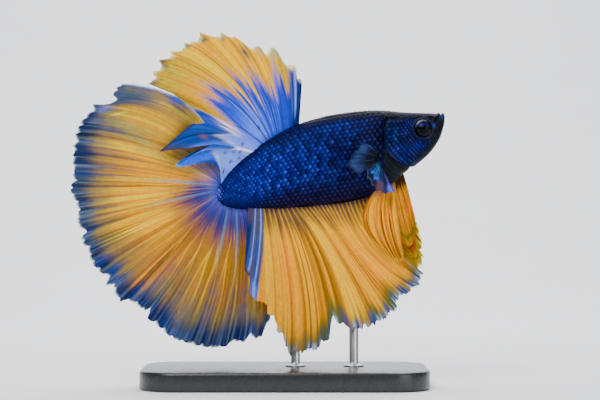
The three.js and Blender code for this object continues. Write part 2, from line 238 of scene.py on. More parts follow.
lens = bpy.data.cameras.new("camera")
lens.sensor_width = VIEW["sensor"]
lens.lens = VIEW["sensor"] * VIEW["distance"] / VIEW["width"]
lens.clip_start, lens.clip_end = 0.01, 10.0
camera = place_in_scene("camera", lens)
camera.location = (VIEW["x"] * MM, -VIEW["distance"] * MM, VIEW["z"] * MM)
camera.rotation_euler = (math.radians(90), 0, 0)
bpy.context.scene.camera = camera
print("lens length in mm:", round(lens.lens, 1))

# %% Floor and backdrop
SWEEP = {"front": -900.0, "bend": 260.0, "radius": 240.0, "top": 1100.0, "half_width": 1500.0, "steps": 25}


def sweep_profile():
    bend, radius = SWEEP["bend"], SWEEP["radius"]
    turns = np.linspace(0, math.pi / 2, SWEEP["steps"])
    curve = [(bend + radius * math.sin(t), radius * (1 - math.cos(t))) for t in turns]
    return [(SWEEP["front"], 0.0), *curve, (bend + radius, SWEEP["top"])]


profile = sweep_profile()
edges = [[(side * SWEEP["half_width"], y, z) for y, z in profile] for side in (-1, 1)]
backdrop_mesh = bpy.data.meshes.new("backdrop")
count = len(profile)
backdrop_mesh.from_pydata(
    (np.array(edges[0] + edges[1]) * MM).tolist(),
    [],
    [(i, i + count, i + count + 1, i + 1) for i in range(count - 1)],
)
backdrop_mesh.shade_smooth()
backdrop = place_in_scene("backdrop", backdrop_mesh)

# %% Lamps and the room's own light
LAMPS = {
    "key": {"place": (-150, -330, 330), "aim": (-5, 0, 40), "size": 240, "watts": 1.9},
    "fill": {"place": (320, -360, 150), "aim": (-5, 0, 40), "size": 300, "watts": 0.75},
    "rim": {"place": (60, 260, 300), "aim": (-5, 0, 40), "size": 220, "watts": 0.32},
    "backdrop": {"place": (0, 160, 560), "aim": (0, 480, 120), "size": 500, "watts": 6.0},
}
ROOM = {"colour": (0.9, 0.93, 1.0, 1.0), "strength": 0.12}

for name, lamp in LAMPS.items():
    data = bpy.data.lights.new(name, "AREA")
    data.size = lamp["size"] * MM
    data.energy = lamp["watts"]
    light = place_in_scene(name, data)
    light.location = [c * MM for c in lamp["place"]]
    way = Vector([b - a for a, b in zip(lamp["place"], lamp["aim"])])
    light.rotation_euler = way.to_track_quat("-Z", "Y").to_euler()

world = bpy.data.worlds.new("room")
world.use_nodes = True
glow = world.node_tree.nodes["Background"].inputs
glow["Color"].default_value, glow["Strength"].default_value = ROOM["colour"], ROOM["strength"]
bpy.context.scene.world = world

# %% [markdown]
# ## Finishes that several materials share
# Wet skin and thin fins are never one flat colour. Two effects come back in nearly every material: a fine
# grain that shifts the colour and roughens the surface, and streaks that run along the rays. Each is a node
# group with its own sockets, built once and placed wherever it is wanted.
# %% Helpers for node trees
def add(tree, kind, values=None, **settings):
    """Adds a node, sets its properties, and sets or links its inputs by name or number."""
    node = tree.nodes.new(kind)
    for name, value in settings.items():
        setattr(node, name, value)
    for key, value in (values or {}).items():
        if isinstance(value, bpy.types.NodeSocket):
            tree.links.new(value, node.inputs[key])
        else:
            node.inputs[key].default_value = value
    return node


def sums(tree, operation, a, b=0.0, c=0.0):
    return add(tree, "ShaderNodeMath", {0: a, 1: b, 2: c}, operation=operation).outputs[0]


def blend(tree, amount, a, b, mode="MIX"):
    values = {0: amount, 6: a, 7: b}
    return add(tree, "ShaderNodeMix", values, data_type="RGBA", blend_type=mode).outputs[2]


def new_group(name, inputs, outputs, sort="ShaderNodeTree"):
    """A node group; inputs are (name, kind, value) and outputs (name, kind)."""
    tree = bpy.data.node_groups.new(name, sort)
    for label, kind, value in inputs:
        socket = tree.interface.new_socket(label, in_out="INPUT", socket_type=kind)
        if value is not None:
            socket.default_value = value
    for label, kind in outputs:
        tree.interface.new_socket(label, in_out="OUTPUT", socket_type=kind)
    return tree, tree.nodes.new("NodeGroupInput").outputs, tree.nodes.new("NodeGroupOutput").inputs


def shade_by(tree, noise, given, result):
    """Lightens and darkens the given colour by a noise, and puts both out."""
    swing = sums(tree, "MULTIPLY_ADD", sums(tree, "SUBTRACT", noise, 0.5), 2.0, 0.0)
    gain = sums(tree, "MULTIPLY_ADD", swing, given["Strength"], 1.0)
    shade = add(tree, "ShaderNodeCombineColor", {0: gain, 1: gain, 2: gain}).outputs[0]
    tree.links.new(blend(tree, 1.0, given["Colour"], shade, "MULTIPLY"), result["Colour"])
    tree.links.new(noise, result["Height"])


FLOAT, COLOUR = "NodeSocketFloat", "NodeSocketColor"

# %% Grain: small blotches of lighter and darker pigment
grain, given, result = new_group(
    "pigment grain",
    [("Colour", COLOUR, None), ("Scale", FLOAT, 900.0), ("Strength", FLOAT, 0.3)],
    [("Colour", COLOUR), ("Height", FLOAT)],
)
place = add(grain, "ShaderNodeTexCoord").outputs["Object"]
blotches = add(grain, "ShaderNodeTexNoise", {"Vector": place, "Scale": given["Scale"], "Detail": 4.0})
shade_by(grain, blotches.outputs[0], given, result)

# %% Streaks: fine lines that run out along a fin
streaks, given, result = new_group(
    "fin streaks",
    [("Colour", COLOUR, None), ("Across", FLOAT, 240.0), ("Strength", FLOAT, 0.3)],
    [("Colour", COLOUR), ("Height", FLOAT)],
)
sheet = add(streaks, "ShaderNodeUVMap", uv_map="shape").outputs[0]
apart = add(streaks, "ShaderNodeSeparateXYZ", {0: sheet}).outputs
across = sums(streaks, "MULTIPLY", apart[0], given["Across"])
along = sums(streaks, "MULTIPLY", apart[1], 5.0)
line = add(streaks, "ShaderNodeCombineXYZ", {0: across, 1: along}).outputs[0]
fibres = add(streaks, "ShaderNodeTexNoise", {"Vector": line, "Scale": 1.0, "Detail": 3.0}).outputs[0]
shade_by(streaks, fibres, given, result)
print("shared groups:", [group.name for group in bpy.data.node_groups])


# %% A material with one shader
def new_material(name, **constants):
    """A material with one Principled shader, whose constant sockets are given by name."""
    material = bpy.data.materials.new(name)
    material.use_nodes = True
    tree = material.node_tree
    shader = tree.nodes["Principled BSDF"]
    for socket, value in constants.items():
        shader.inputs[socket.replace("_", " ")].default_value = value
    return material, tree, shader


def use(tree, group, values):
    return add(tree, "ShaderNodeGroup", values, node_tree=group).outputs


def painted(tree):
    """The colour that each point of the piece carries."""
    return add(tree, "ShaderNodeAttribute", attribute_name="tint").outputs["Color"]


def set_colour(tree, shader, colour_socket):
    tree.links.new(colour_socket, shader.inputs["Base Color"])


def set_relief(tree, shader, height, strength, depth):
    """Fine relief by a Bump node; the depth is in metres."""
    relief = add(tree, "ShaderNodeBump", {"Height": height, "Strength": strength, "Distance": depth})
    tree.links.new(relief.outputs[0], shader.inputs["Normal"])


# %% Backdrop paper
paper, tree, shader = new_material("backdrop paper", Roughness=0.9)
shade = use(tree, grain, {"Colour": (0.84, 0.85, 0.88, 1.0), "Scale": 60.0, "Strength": 0.03})
set_colour(tree, shader, shade["Colour"])
backdrop_mesh.materials.append(paper)

# %% [markdown]
# ## One skin over the whole body
# The solids cut the flesh into head, jaw, gill covers, trunk and tail stem. On the living fish one skin runs
# over all of them, so they are replaced by a single closed mesh. It is a stack of rings along the spine,
# packed more closely at the head, and the small forms of the head are pressed into it along its normals:
# the edge of the gill cover, the cheek's crease, the lips, the nostrils and the rim round the eye. The skin
# lies a little inside the solids, by the depth of the scales that cover it later.
# %% The body's section
COAT = 0.12  # how far the skin lies inside the solids
body_at = through(
    [
        (0.0, 33.6, 56.7, 55.5, 0.5),
        (0.02, 33.3, 57.2, 54.3, 1.1),
        (0.06, 32.3, 57.35, 51.6, 1.8),
        (0.12, 30.3, 57.3, 48.8, 2.55),
        (0.2, 27.2, 57.4, 46.4, 3.35),
        (0.27, 24.4, 57.5, 44.0, 3.85),
        (0.33, 21.8, 57.7, 41.5, 4.15),
        (0.4, 18.0, 57.8, 39.9, 4.35),
        (0.5, 12.6, 57.3, 38.6, 4.3),
        (0.6, 7.4, 56.3, 38.0, 3.95),
        (0.7, 1.6, 54.4, 37.55, 3.4),
        (0.8, -3.6, 51.5, 37.2, 2.75),
        (0.88, -8.3, 48.2, 37.2, 2.1),
        (0.94, -11.6, 45.1, 37.6, 1.5),
        (0.98, -13.6, 42.5, 38.6, 1.0),
        (1.0, -14.3, 41.2, 39.6, 0.5),
    ]
)
ring_shape = through(
    [(0.0, 0.9, 0.9), (0.2, 0.72, 0.95), (0.35, 0.85, 1.0), (0.6, 0.95, 1.15), (1.0, 1.0, 1.1)]
)


def swim(x):
    """The fish bows gently towards its left side as it swims."""
    return -0.0015 * (x - 8) ** 2


def body_point(share, turn, grow):
    """A point of the straight body; turn starts at the back and runs over the left side."""
    x, back, belly, half = body_at(share)
    upper, lower = ring_shape(share)
    rise, out = np.cos(turn), np.sin(turn)
    width = (half + grow) * np.sign(out) * np.abs(out) ** np.where(rise > 0, upper, lower)
    ends = np.clip(1 - share / 0.04, 0, 1) - np.clip((share - 0.96) / 0.04, 0, 1)
    height = (back + belly) / 2 + ((back - belly) / 2 + grow) * rise
    return np.stack([x + grow * ends, width, height], -1)


spine = np.linspace(0, 1, 400)
spine_x, spine_back, spine_belly, _ = body_at(spine)


def at_x(values, x):
    """A value along the spine, looked up by x."""
    return np.interp(-np.asarray(x, float), -spine_x, values)


def share_up(x, z):
    """0 at the belly's edge and 1 at the back's."""
    back, belly = at_x(spine_back, x), at_x(spine_belly, x)
    return (z - belly) / np.maximum(back - belly, 0.5)


# %% The lines of the head, in side view
EYE = {"x": 28.8, "z": 54.0, "offset": 2.0, "radius": 1.95, "flatness": 0.72}
GILL_EDGE = [
    (23.4, 56.2), (21.7, 55.6), (20.95, 54.0), (20.8, 51.6), (21.2, 49.4), (22.4, 47.8), (24.2, 46.7),
    (26.0, 46.1), (27.6, 46.3),
]
CHEEK_CREASE = [(27.0, 55.6), (25.9, 53.8), (25.5, 51.6), (26.1, 49.8), (27.6, 48.6), (29.4, 48.9)]
UNDER_EYE = [(26.6, 53.4), (27.3, 51.8), (28.6, 51.2), (30.0, 51.6)]
MOUTH = [(32.75, 57.5), (32.45, 56.85), (31.8, 56.2), (31.4, 55.5)]
JAW_FOLD = [(31.15, 54.1), (30.6, 52.2), (29.9, 50.2)]
THROAT_FOLDS = [
    [(21.6, 47.9), (23.4, 46.2), (25.4, 45.5)],
    [(21.0, 47.2), (22.8, 45.4), (24.8, 44.6)],
    [(20.5, 46.4), (22.2, 44.6), (24.0, 43.8)],
]
NOSTRIL = (30.9, 56.3)


def distance(x, z, line):
    """The distance in side view from a line of straight steps."""
    nearest = np.full(np.shape(x), 1e9)
    for (ax, az), (bx, bz) in zip(line, line[1:]):
        long = (bx - ax) ** 2 + (bz - az) ** 2
        t = np.clip(((x - ax) * (bx - ax) + (z - az) * (bz - az)) / long, 0, 1)
        nearest = np.minimum(nearest, np.hypot(x - ax - t * (bx - ax), z - az - t * (bz - az)))
    return nearest


def soft_line(rows, count=40):
    """The same line with rounded corners."""
    t = np.linspace(0, 1, len(rows))
    curve = through([(place, *row) for place, row in zip(t, rows)])
    return list(zip(*curve(np.linspace(0, 1, count))))


def inside(x, z, outline):
    """True for points inside a closed outline in side view."""
    crossings = np.zeros(np.shape(x), int)
    for (ax, az), (bx, bz) in zip(outline, outline[1:] + outline[:1]):
        spans = (az > z) != (bz > z)
        crossings += spans & (x < ax + (z - az) * (bx - ax) / (bz - az if bz != az else 1e-9))
    return crossings % 2 == 1


gill_edge = soft_line(GILL_EDGE)
GILL_PLATE = gill_edge + [(34.0, 46.3), (34.0, 58.5), (23.4, 58.5)]


def head_relief(x, z):
    """How far the skin stands out or is pressed in, in millimetres."""
    edge = distance(x, z, gill_edge)
    on_plate = inside(x, z, GILL_PLATE)
    lip = np.where(on_plate, 0.3 * np.exp(-((edge / 2.6) ** 2)), -0.3 * np.exp(-((edge / 0.5) ** 2)))
    relief = lip * smoothstep(0, 0.1, edge) * smoothstep(18, 20, x) * smoothstep(56.0, 54.6, z)
    relief -= 0.11 * bump(distance(x, z, soft_line(CHEEK_CREASE)), 0, 0.22)
    relief += 0.08 * bump(distance(x, z, soft_line(UNDER_EYE)), 0, 0.35)
    mouth = distance(x, z, soft_line(MOUTH))
    relief += 0.15 * bump(mouth, 0.42, 0.22) - 0.32 * bump(mouth, 0, 0.13)
    relief -= 0.1 * bump(distance(x, z, JAW_FOLD), 0, 0.2)
    for fold in THROAT_FOLDS:
        relief -= 0.18 * bump(distance(x, z, fold), 0, 0.22)
    nostril = np.hypot(x - NOSTRIL[0], z - NOSTRIL[1])
    relief += 0.08 * bump(nostril, 0.22, 0.09) - 0.16 * bump(nostril, 0, 0.12)
    eye = np.hypot(x - EYE["x"], z - EYE["z"])
    relief -= 0.95 * falls(1.5, 1.9, eye)
    relief += 0.14 * bump(eye, 2.05, 0.16) - 0.06 * bump(eye, 2.5, 0.22)
    return relief


# %% Colours of the skin, in side view
FLANK_SPOTS = [
    ("0e177c", 1, -7.0, 43.0, 9.0, 5.5, 25),
    ("121e8a", 0.9, -1.0, 45.0, 6.5, 3.6, 25),
    ("0c1e74", 1, -11.5, 41.3, 4.0, 3.2),
    ("161c66", 0.8, 11.0, 54.0, 7.0, 2.6, -6),
]
CROWN_SPOTS = [
    ("1f2029", 0.8, 26.5, 57.2, 5.5, 0.7),
    ("403e48", 0.85, 30.0, 56.75, 2.0, 0.22, 3),
]
LIP_SPOTS = [
    ("1d4e78", 0.9, 33.2, 56.4, 0.75, 0.7),
    ("4c5c64", 0.9, 31.9, 57.1, 0.8, 0.45),
    ("6c6468", 0.8, 31.9, 57.5, 0.7, 0.16),
    ("2452b4", 0.9, 31.1, 54.6, 0.3, 0.4),
]
CHEEK_SPOTS = [
    ("1c2378", 1, 26.0, 55.2, 1.1, 0.7, 60),
    ("241f78", 1, 25.1, 53.3, 0.8, 0.7, 0),
    ("0c3a86", 1, 23.3, 53.8, 0.4, 0.75, 0),
    ("0c3482", 1, 23.3, 52.0, 0.4, 0.75, 0),
    ("0c2f6c", 1, 21.7, 51.9, 0.45, 0.8, 0),
    ("0d3f7c", 1, 21.7, 54.4, 0.4, 0.7, 20),
    ("262cac", 1, 23.8, 49.9, 0.5, 0.4, 10),
    ("0a2488", 1, 25.5, 49.6, 0.9, 0.7, -20),
    ("151c80", 1, 28.1, 50.4, 1.1, 0.8, 20),
    ("2a2c7c", 1, 27.0, 48.7, 0.5, 0.45, 0),
    ("182a86", 1, 24.6, 47.9, 1.2, 0.55, -35),
    ("093050", 1, 26.6, 47.3, 0.7, 0.5, 0),
    ("2a2f68", 1, 26.1, 51.2, 0.7, 0.4, -15),
    ("20305a", 1, 22.4, 50.1, 0.6, 0.6, -30),
    ("27306c", 1, 22.9, 48.9, 1.3, 0.4, -38),
    ("101034", 1, 24.6, 51.6, 0.45, 0.5, 0),
]


def body_colours(x, z):
    """The blue body and its brown back, laid one over another."""
    up = share_up(x, z)
    c = plain(x, "12144f")
    c = lay_spots(c, x, z, FLANK_SPOTS)
    c = lay(c, "1c1a42", smoothstep(12.0, 17.5, x) * 0.9)
    c = lay(c, "18143c", bump(up, 0.1, 0.22) * smoothstep(-7, 1, x) * 0.9)
    c = lay(c, "2c2348", bump(up, 0.0, 0.09) * smoothstep(-8, -3, x) * falls(12, 17, x) * 0.8)
    c = lay(c, "0c0f1a", smoothstep(0.88, 0.96, up) * smoothstep(2, 9, x) * 0.9)
    return lay(c, "161618", smoothstep(0.965, 1.0, up) * smoothstep(2, 9, x) * 0.8)


def skin_colours(x, z):
    """The body's colours, and the dusky head over them."""
    up, edge, on_plate = share_up(x, z), distance(x, z, gill_edge), inside(x, z, GILL_PLATE)
    eye = np.hypot(x - EYE["x"], z - EYE["z"])
    c = body_colours(x, z)
    head = smoothstep(19.5, 21.5, x)
    c = lay(c, "131a44", head * 0.95)
    c = lay_spots(c, x, z, CHEEK_SPOTS, head)
    c = lay(c, "14161f", smoothstep(55.0, 56.3, z - 0.06 * (x - 24)) * head * 0.92)
    c = lay_spots(c, x, z, CROWN_SPOTS)
    c = lay(c, "070b10", smoothstep(29.6, 31.4, x) * falls(56.2, 56.8, z) * 0.94)
    c = lay(c, "3a3446", bump(eye, 2.15, 0.3) * smoothstep(28.8, 30.4, x) * 0.7)
    c = lay_spots(c, x, z, LIP_SPOTS)
    mottle = np.sin(3.1 * x + 1.7 * z) * np.sin(2.3 * z - 1.9 * x) + 0.5 * np.sin(6.7 * x) * np.sin(5.9 * z)
    c = lay(c, "1c2c34", head * smoothstep(28.0, 30.5, x) * np.clip(mottle, 0, 1) * 0.6)
    c = lay(c, "2c2440", head * smoothstep(27.0, 29.5, x) * np.clip(-mottle - 0.3, 0, 1) * 0.5)
    c = lay(c, "0c1416", smoothstep(0.3, 0.05, up) * smoothstep(26.5, 29.5, x) * 0.9)
    # The throat below the gill covers is near black, partly its own dark membrane and partly painted shade
    # under the head.
    under = head * ~on_plate * (z < 49)
    c = lay(c, "0c1116", under * 0.95)
    c = lay(c, "1c2234", under * blot(x, z, 23.0, 45.2, 2.6, 0.7, -38) * 0.7)
    # Each throat fold gets a painted shade in its crease and paler painted highlights beside it.
    for fold in THROAT_FOLDS:
        c = lay(c, "1c262e", under * bump(distance(x, z, fold), 0.25, 0.14) * 0.6)
        c = lay(c, "04060a", under * bump(distance(x, z, fold), 0, 0.12) * 0.8)
    # A painted shade just behind the gill cover's edge, where the cover overhangs the skin.
    c = lay(c, "03040a", bump(edge, 0, 0.28) * ~on_plate * (x > 19) * 0.95)
    c = lay(c, "2a3070", bump(edge, 0.3, 0.3) * on_plate * (z < 50.5) * (x < 25.5) * 0.6)
    # Painted shade in the mouth's groove and in the nostril's pit.
    c = lay(c, "02040a", bump(distance(x, z, soft_line(MOUTH)), 0, 0.12) * 0.9)
    c = lay(c, "02040a", bump(np.hypot(x - NOSTRIL[0], z - NOSTRIL[1]), 0, 0.1) * 0.9)
    # Painted shade in the sunken socket, in the thin gap round the eye.
    c = lay(c, "070911", falls(1.75, 2.05, eye) * 0.95)
    c = lay(c, "7b8ce8", blot(x, z, -14.0, 40.6, 0.8, 1.4) * 0.8)
    return c


# %% Rings of the skin
RINGS = {"head": 130, "trunk": 120, "head_share": 0.34, "sides": 200}
SNOUT = 33.55  # the skin stops just short of the solids' own snout
shares = np.concatenate(
    [
        np.linspace(0, RINGS["head_share"], RINGS["head"], endpoint=False),
        np.linspace(RINGS["head_share"], 1, RINGS["trunk"]),
    ]
)
turns = np.linspace(0, 2 * math.pi, RINGS["sides"], endpoint=False)
ring_share, ring_turn = np.meshgrid(shares, turns, indexing="ij")
straight = body_point(ring_share, ring_turn, -COAT)


def surface_normals(grid, wrap):
    """Unit normals of a grid of points; wrap joins its second direction."""
    along = np.gradient(grid, axis=0)
    if wrap:
        across = (np.roll(grid, -1, 1) - np.roll(grid, 1, 1)) / 2
    else:
        across = np.gradient(grid, axis=1)
    normal = np.cross(along, across)
    return normal / np.maximum(np.linalg.norm(normal, axis=-1, keepdims=True), 1e-9)


normals = surface_normals(straight, True)
outward = np.sign((normals[..., 1] * straight[..., 1]).sum())
normals *= outward
relief = head_relief(straight[..., 0], straight[..., 2])
skin_grid = straight + normals * relief[..., None]
skin_grid[..., 0] = np.minimum(skin_grid[..., 0], SNOUT)
skin_tint = skin_colours(straight[..., 0], straight[..., 2])
skin_grid[..., 1] += swim(skin_grid[..., 0])
skin_normals = surface_normals(skin_grid, True) * outward

nose, tail_end = skin_grid[0].mean(0), skin_grid[-1].mean(0)
points = np.concatenate([skin_grid.reshape(-1, 3), [nose, tail_end]])
faces = pointed_tube(len(shares), RINGS["sides"])
tints = np.concatenate([skin_tint.reshape(-1, 3), [skin_tint[0, 0], skin_tint[-1, 0]]])
spread = np.stack([ring_share, ring_turn / (2 * math.pi)], -1).reshape(-1, 2)
body_skin = new_piece("body_skin", points, faces, tints, np.concatenate([spread, [[0, 0.5], [1, 0.5]]]))

# %% Wet skin
skin_finish, tree, shader = new_material(
    "wet skin", Roughness=0.45, Coat_Weight=0.012, Coat_Roughness=0.15, Specular_IOR_Level=0.06
)
pigment = use(tree, grain, {"Colour": painted(tree), "Scale": 1500.0, "Strength": 0.45})
set_colour(tree, shader, pigment["Colour"])
set_relief(tree, shader, pigment["Height"], 0.25, 0.00005)
flesh = ("head", "lower_jaw", "gill_cover_right", "gill_cover_left", "trunk", "tail_stem")
dress(body_skin, skin_finish, "blue_skin", *flesh)

# %% [markdown]
# ## The coat of scales
# A betta's scales are thin plates that grow out of pockets in the skin and lie back over one another like
# roof tiles, in rows that follow the side. Each could be drawn as a bump, but then the edge of the body would
# look bare. So one small scale is modelled, and Geometry Nodes set a copy of it on every seat. A seat holds
# the scale's place, the skin's normal, the way it lies, its size and its colour. The instances are realized,
# because a part keeps only real meshes.
# %% One scale
SCALE = {"long": 6, "across": 6, "dome": 0.09, "thick": 0.1}


def scale_plate():
    """A rounded plate 2 units long and wide, root at -1 and free edge at 1, as thin as a fingernail."""
    t = np.linspace(-1, 1, SCALE["long"])
    s = np.linspace(-1, 1, SCALE["across"])
    lie, side = np.meshgrid(t, s, indexing="ij")
    x, y = lie * np.sqrt(1 - side**2 / 2), side * np.sqrt(1 - lie**2 / 2)
    crown = SCALE["dome"] * (1 - 0.8 * (x**2 + y**2))
    rim = (np.abs(lie) > 0.99) | (np.abs(side) > 0.99)
    top = np.stack([x, y, crown], -1).reshape(-1, 3)
    low = np.stack([x, y, crown - SCALE["thick"]], -1)[~rim].reshape(-1, 3)
    number = np.arange(top.shape[0]).reshape(lie.shape)
    under = number.copy()
    under[~rim] = top.shape[0] + np.arange(low.shape[0])
    faces = []
    for i in range(SCALE["long"] - 1):
        for k in range(SCALE["across"] - 1):
            faces.append((number[i, k], number[i + 1, k], number[i + 1, k + 1], number[i, k + 1]))
            faces.append((under[i, k], under[i, k + 1], under[i + 1, k + 1], under[i + 1, k]))
    return np.concatenate([top, low]), faces, set(number[rim].tolist())


plate_points, plate_faces, plate_rim = scale_plate()
plate = new_piece("scale plate", plate_points / MM, plate_faces)
plate.data.attributes.new("spot", "FLOAT_VECTOR", "POINT").data.foreach_set("vector", plate_points.ravel())
for edge in plate.data.edges:
    edge.use_edge_sharp = set(edge.vertices) <= plate_rim
print("one scale has", len(plate_faces), "faces")


# %% The tree that sets scales on seats
GEOMETRY = "NodeSocketGeometry"


def read_attribute(tree, name, kind="FLOAT_VECTOR"):
    return add(tree, "GeometryNodeInputNamedAttribute", {"Name": name}, data_type=kind).outputs[0]


def scale_tree(material):
    """Scales on seats: a copy of the plate on each point, turned by 'up' and 'lie' and sized by 'size'."""
    inputs = [("Seats", GEOMETRY, None), ("Plate", "NodeSocketObject", None), ("Size", FLOAT, None)]
    tree, given, result = new_group("scales on seats", inputs, [("Scales", GEOMETRY)], "GeometryNodeTree")
    up, lie, size = (read_attribute(tree, name) for name in ("up", "lie", "size"))
    stand = add(tree, "FunctionNodeAlignRotationToVector", {"Vector": up}, axis="Z").outputs[0]
    values = {"Rotation": stand, "Vector": lie}
    turn = add(tree, "FunctionNodeAlignRotationToVector", values, axis="X", pivot_axis="Z").outputs[0]
    size = add(tree, "ShaderNodeVectorMath", {0: size, "Scale": given["Size"]}, operation="SCALE").outputs[0]
    shape = add(tree, "GeometryNodeObjectInfo", {"Object": given["Plate"]}).outputs["Geometry"]
    values = {"Points": given["Seats"], "Instance": shape, "Rotation": turn, "Scale": size}
    placed = add(tree, "GeometryNodeInstanceOnPoints", values).outputs[0]
    real = add(tree, "GeometryNodeRealizeInstances", {0: placed}).outputs[0]
    smooth = add(tree, "GeometryNodeSetShadeSmooth", {0: real}).outputs[0]
    final = add(tree, "GeometryNodeSetMaterial", {"Geometry": smooth, "Material": material})
    tree.links.new(final.outputs[0], result[0])
    return tree


def run_tree(name, source, tree, **inputs):
    """Runs a tree on a mesh in millimetres and keeps the result as a plain mesh in a new piece."""
    holder = place_in_scene(name + " seats", source)
    modifier = holder.modifiers.new("make", "NODES")
    modifier.node_group = tree
    for item in tree.interface.items_tree:
        if item.in_out == "INPUT" and item.name.lower().replace(" ", "_") in inputs:
            modifier[item.identifier] = inputs[item.name.lower().replace(" ", "_")]
    bpy.context.view_layer.update()
    graph = bpy.context.evaluated_depsgraph_get()
    made = holder.evaluated_get(graph)
    mesh = bpy.data.meshes.new_from_object(made, preserve_all_data_layers=True, depsgraph=graph)
    holder.modifiers.remove(modifier)
    bpy.data.objects.remove(holder)
    mesh.name = name
    mesh.vertices.foreach_set("co", point_places(mesh) * MM)
    mesh.update()
    return place_in_scene(name, mesh)


# %% Seats in rows along the side
SCALE_LIFT = 0.09  # how steeply a scale rises from its root to its free edge
ROWS_APART, PITCH = 0.88, 1.03
SMALL = {"tail": 0.62, "face": 0.5}  # the scales' size there, as a share of their size on the flank
COAT_RUN = {"snout": 31.6, "tail": -13.9, "rows": 40, "gap": 0.1}
UNEVEN = 0.04  # how much the scales' sizes differ
BARE = {"eye": 2.05, "nostril": 0.5, "lips": 31.0, "gill": 0.4}


def scale_share(x):
    """Scales are largest on the flank, smaller on the tail's stem and smallest on the face."""
    tail = mix(1.0, SMALL["tail"], smoothstep(4, COAT_RUN["tail"], x))
    return tail * mix(1.0, SMALL["face"], smoothstep(19.5, 29.5, x))


def seat_rows(side):
    """Ring number, step round the half ring and size of each scale; each row is shifted by half a scale."""
    half = RINGS["sides"] // 2
    order = np.arange(half + 1) if side > 0 else (RINGS["sides"] - np.arange(half + 1)) % RINGS["sides"]
    ring = skin_grid[:, order]
    steps = np.linalg.norm(np.diff(ring, axis=1), axis=-1)
    length = np.concatenate([np.zeros((len(ring), 1)), np.cumsum(steps, 1)], 1)
    middle, ring_x = length[:, half // 2], ring[:, half // 2, 0]
    columns, x = [], COAT_RUN["snout"]
    while x > COAT_RUN["tail"]:
        columns.append(x)
        x -= PITCH / 2 * scale_share(x)
    rng = np.random.default_rng(11)
    seats = []
    for number, x in enumerate(columns):
        small = scale_share(x)
        i = np.interp(-x, -ring_x, np.arange(len(ring_x)))
        whole = int(min(i, len(ring_x) - 2))
        lengths = mix(length[whole], length[whole + 1], i - whole)
        for row in range(number % 2 - COAT_RUN["rows"], COAT_RUN["rows"] + 1, 2):
            wanted = mix(middle[whole], middle[whole + 1], i - whole) - row * ROWS_APART * small
            if COAT_RUN["gap"] < wanted < lengths[-1] - COAT_RUN["gap"]:
                k = np.interp(wanted, lengths, np.arange(half + 1))
                seats.append((i, k, small * rng.uniform(1 - UNEVEN, 1 + UNEVEN)))
    return order, np.array(seats)


def on_grid(grid, order, i, k):
    """A value between the points of a grid."""
    i0, k0 = np.minimum(i.astype(int), len(grid) - 2), np.minimum(k.astype(int), len(order) - 2)
    s, t = (i - i0)[:, None], (k - k0)[:, None]
    near = mix(grid[i0, order[k0]], grid[i0, order[k0 + 1]], t)
    return mix(near, mix(grid[i0 + 1, order[k0]], grid[i0 + 1, order[k0 + 1]], t), s)


def split_seats(side):
    """The seats of the body and of the head; eyes, lips, nostrils and the throat's bare folds have none."""
    order, seats = seat_rows(side)
    i, k, small = seats.T
    place = on_grid(skin_grid, order, i, k)
    x, z = place[:, 0], place[:, 2]
    plate_side = inside(x, z, GILL_PLATE)
    edge = distance(x, z, gill_edge)
    eye, nostril = np.hypot(x - EYE["x"], z - EYE["z"]), np.hypot(x - NOSTRIL[0], z - NOSTRIL[1])
    bare = (x > BARE["lips"]) | (eye < BARE["eye"] + 0.8 * small) | (nostril < BARE["nostril"])
    bare |= (x > 29.6) & (z < 53.5) | (x > 26.5) & (share_up(x, z) < 0.12)
    head = plate_side & (edge > BARE["gill"]) & ~bare
    throat = (x > 17.5) & (share_up(x, z) < 0.2) | (x > 20.2) & (z < 49.6)
    body = ~plate_side & ~throat
    small = np.where(plate_side, small, small * mix(0.78, 1.0, smoothstep(0.2, 1.6, edge)))
    return {"body": (order, i[body], k[body], small[body]), "head": (order, i[head], k[head], small[head])}


# %% Sizes, colours and lie of the seats
# Of the seats' random draws from 0 to 1, those up to each limit get this colour as a glint.
GLINTS = [(0.0, 0.3, "1c40c0"), (0.3, 0.42, "2c2a98"), (0.42, 0.55, "3a54d0")]
SEAT = {"lift": 0.03, "long": 0.94, "wide": 1.06, "thick": 0.5}


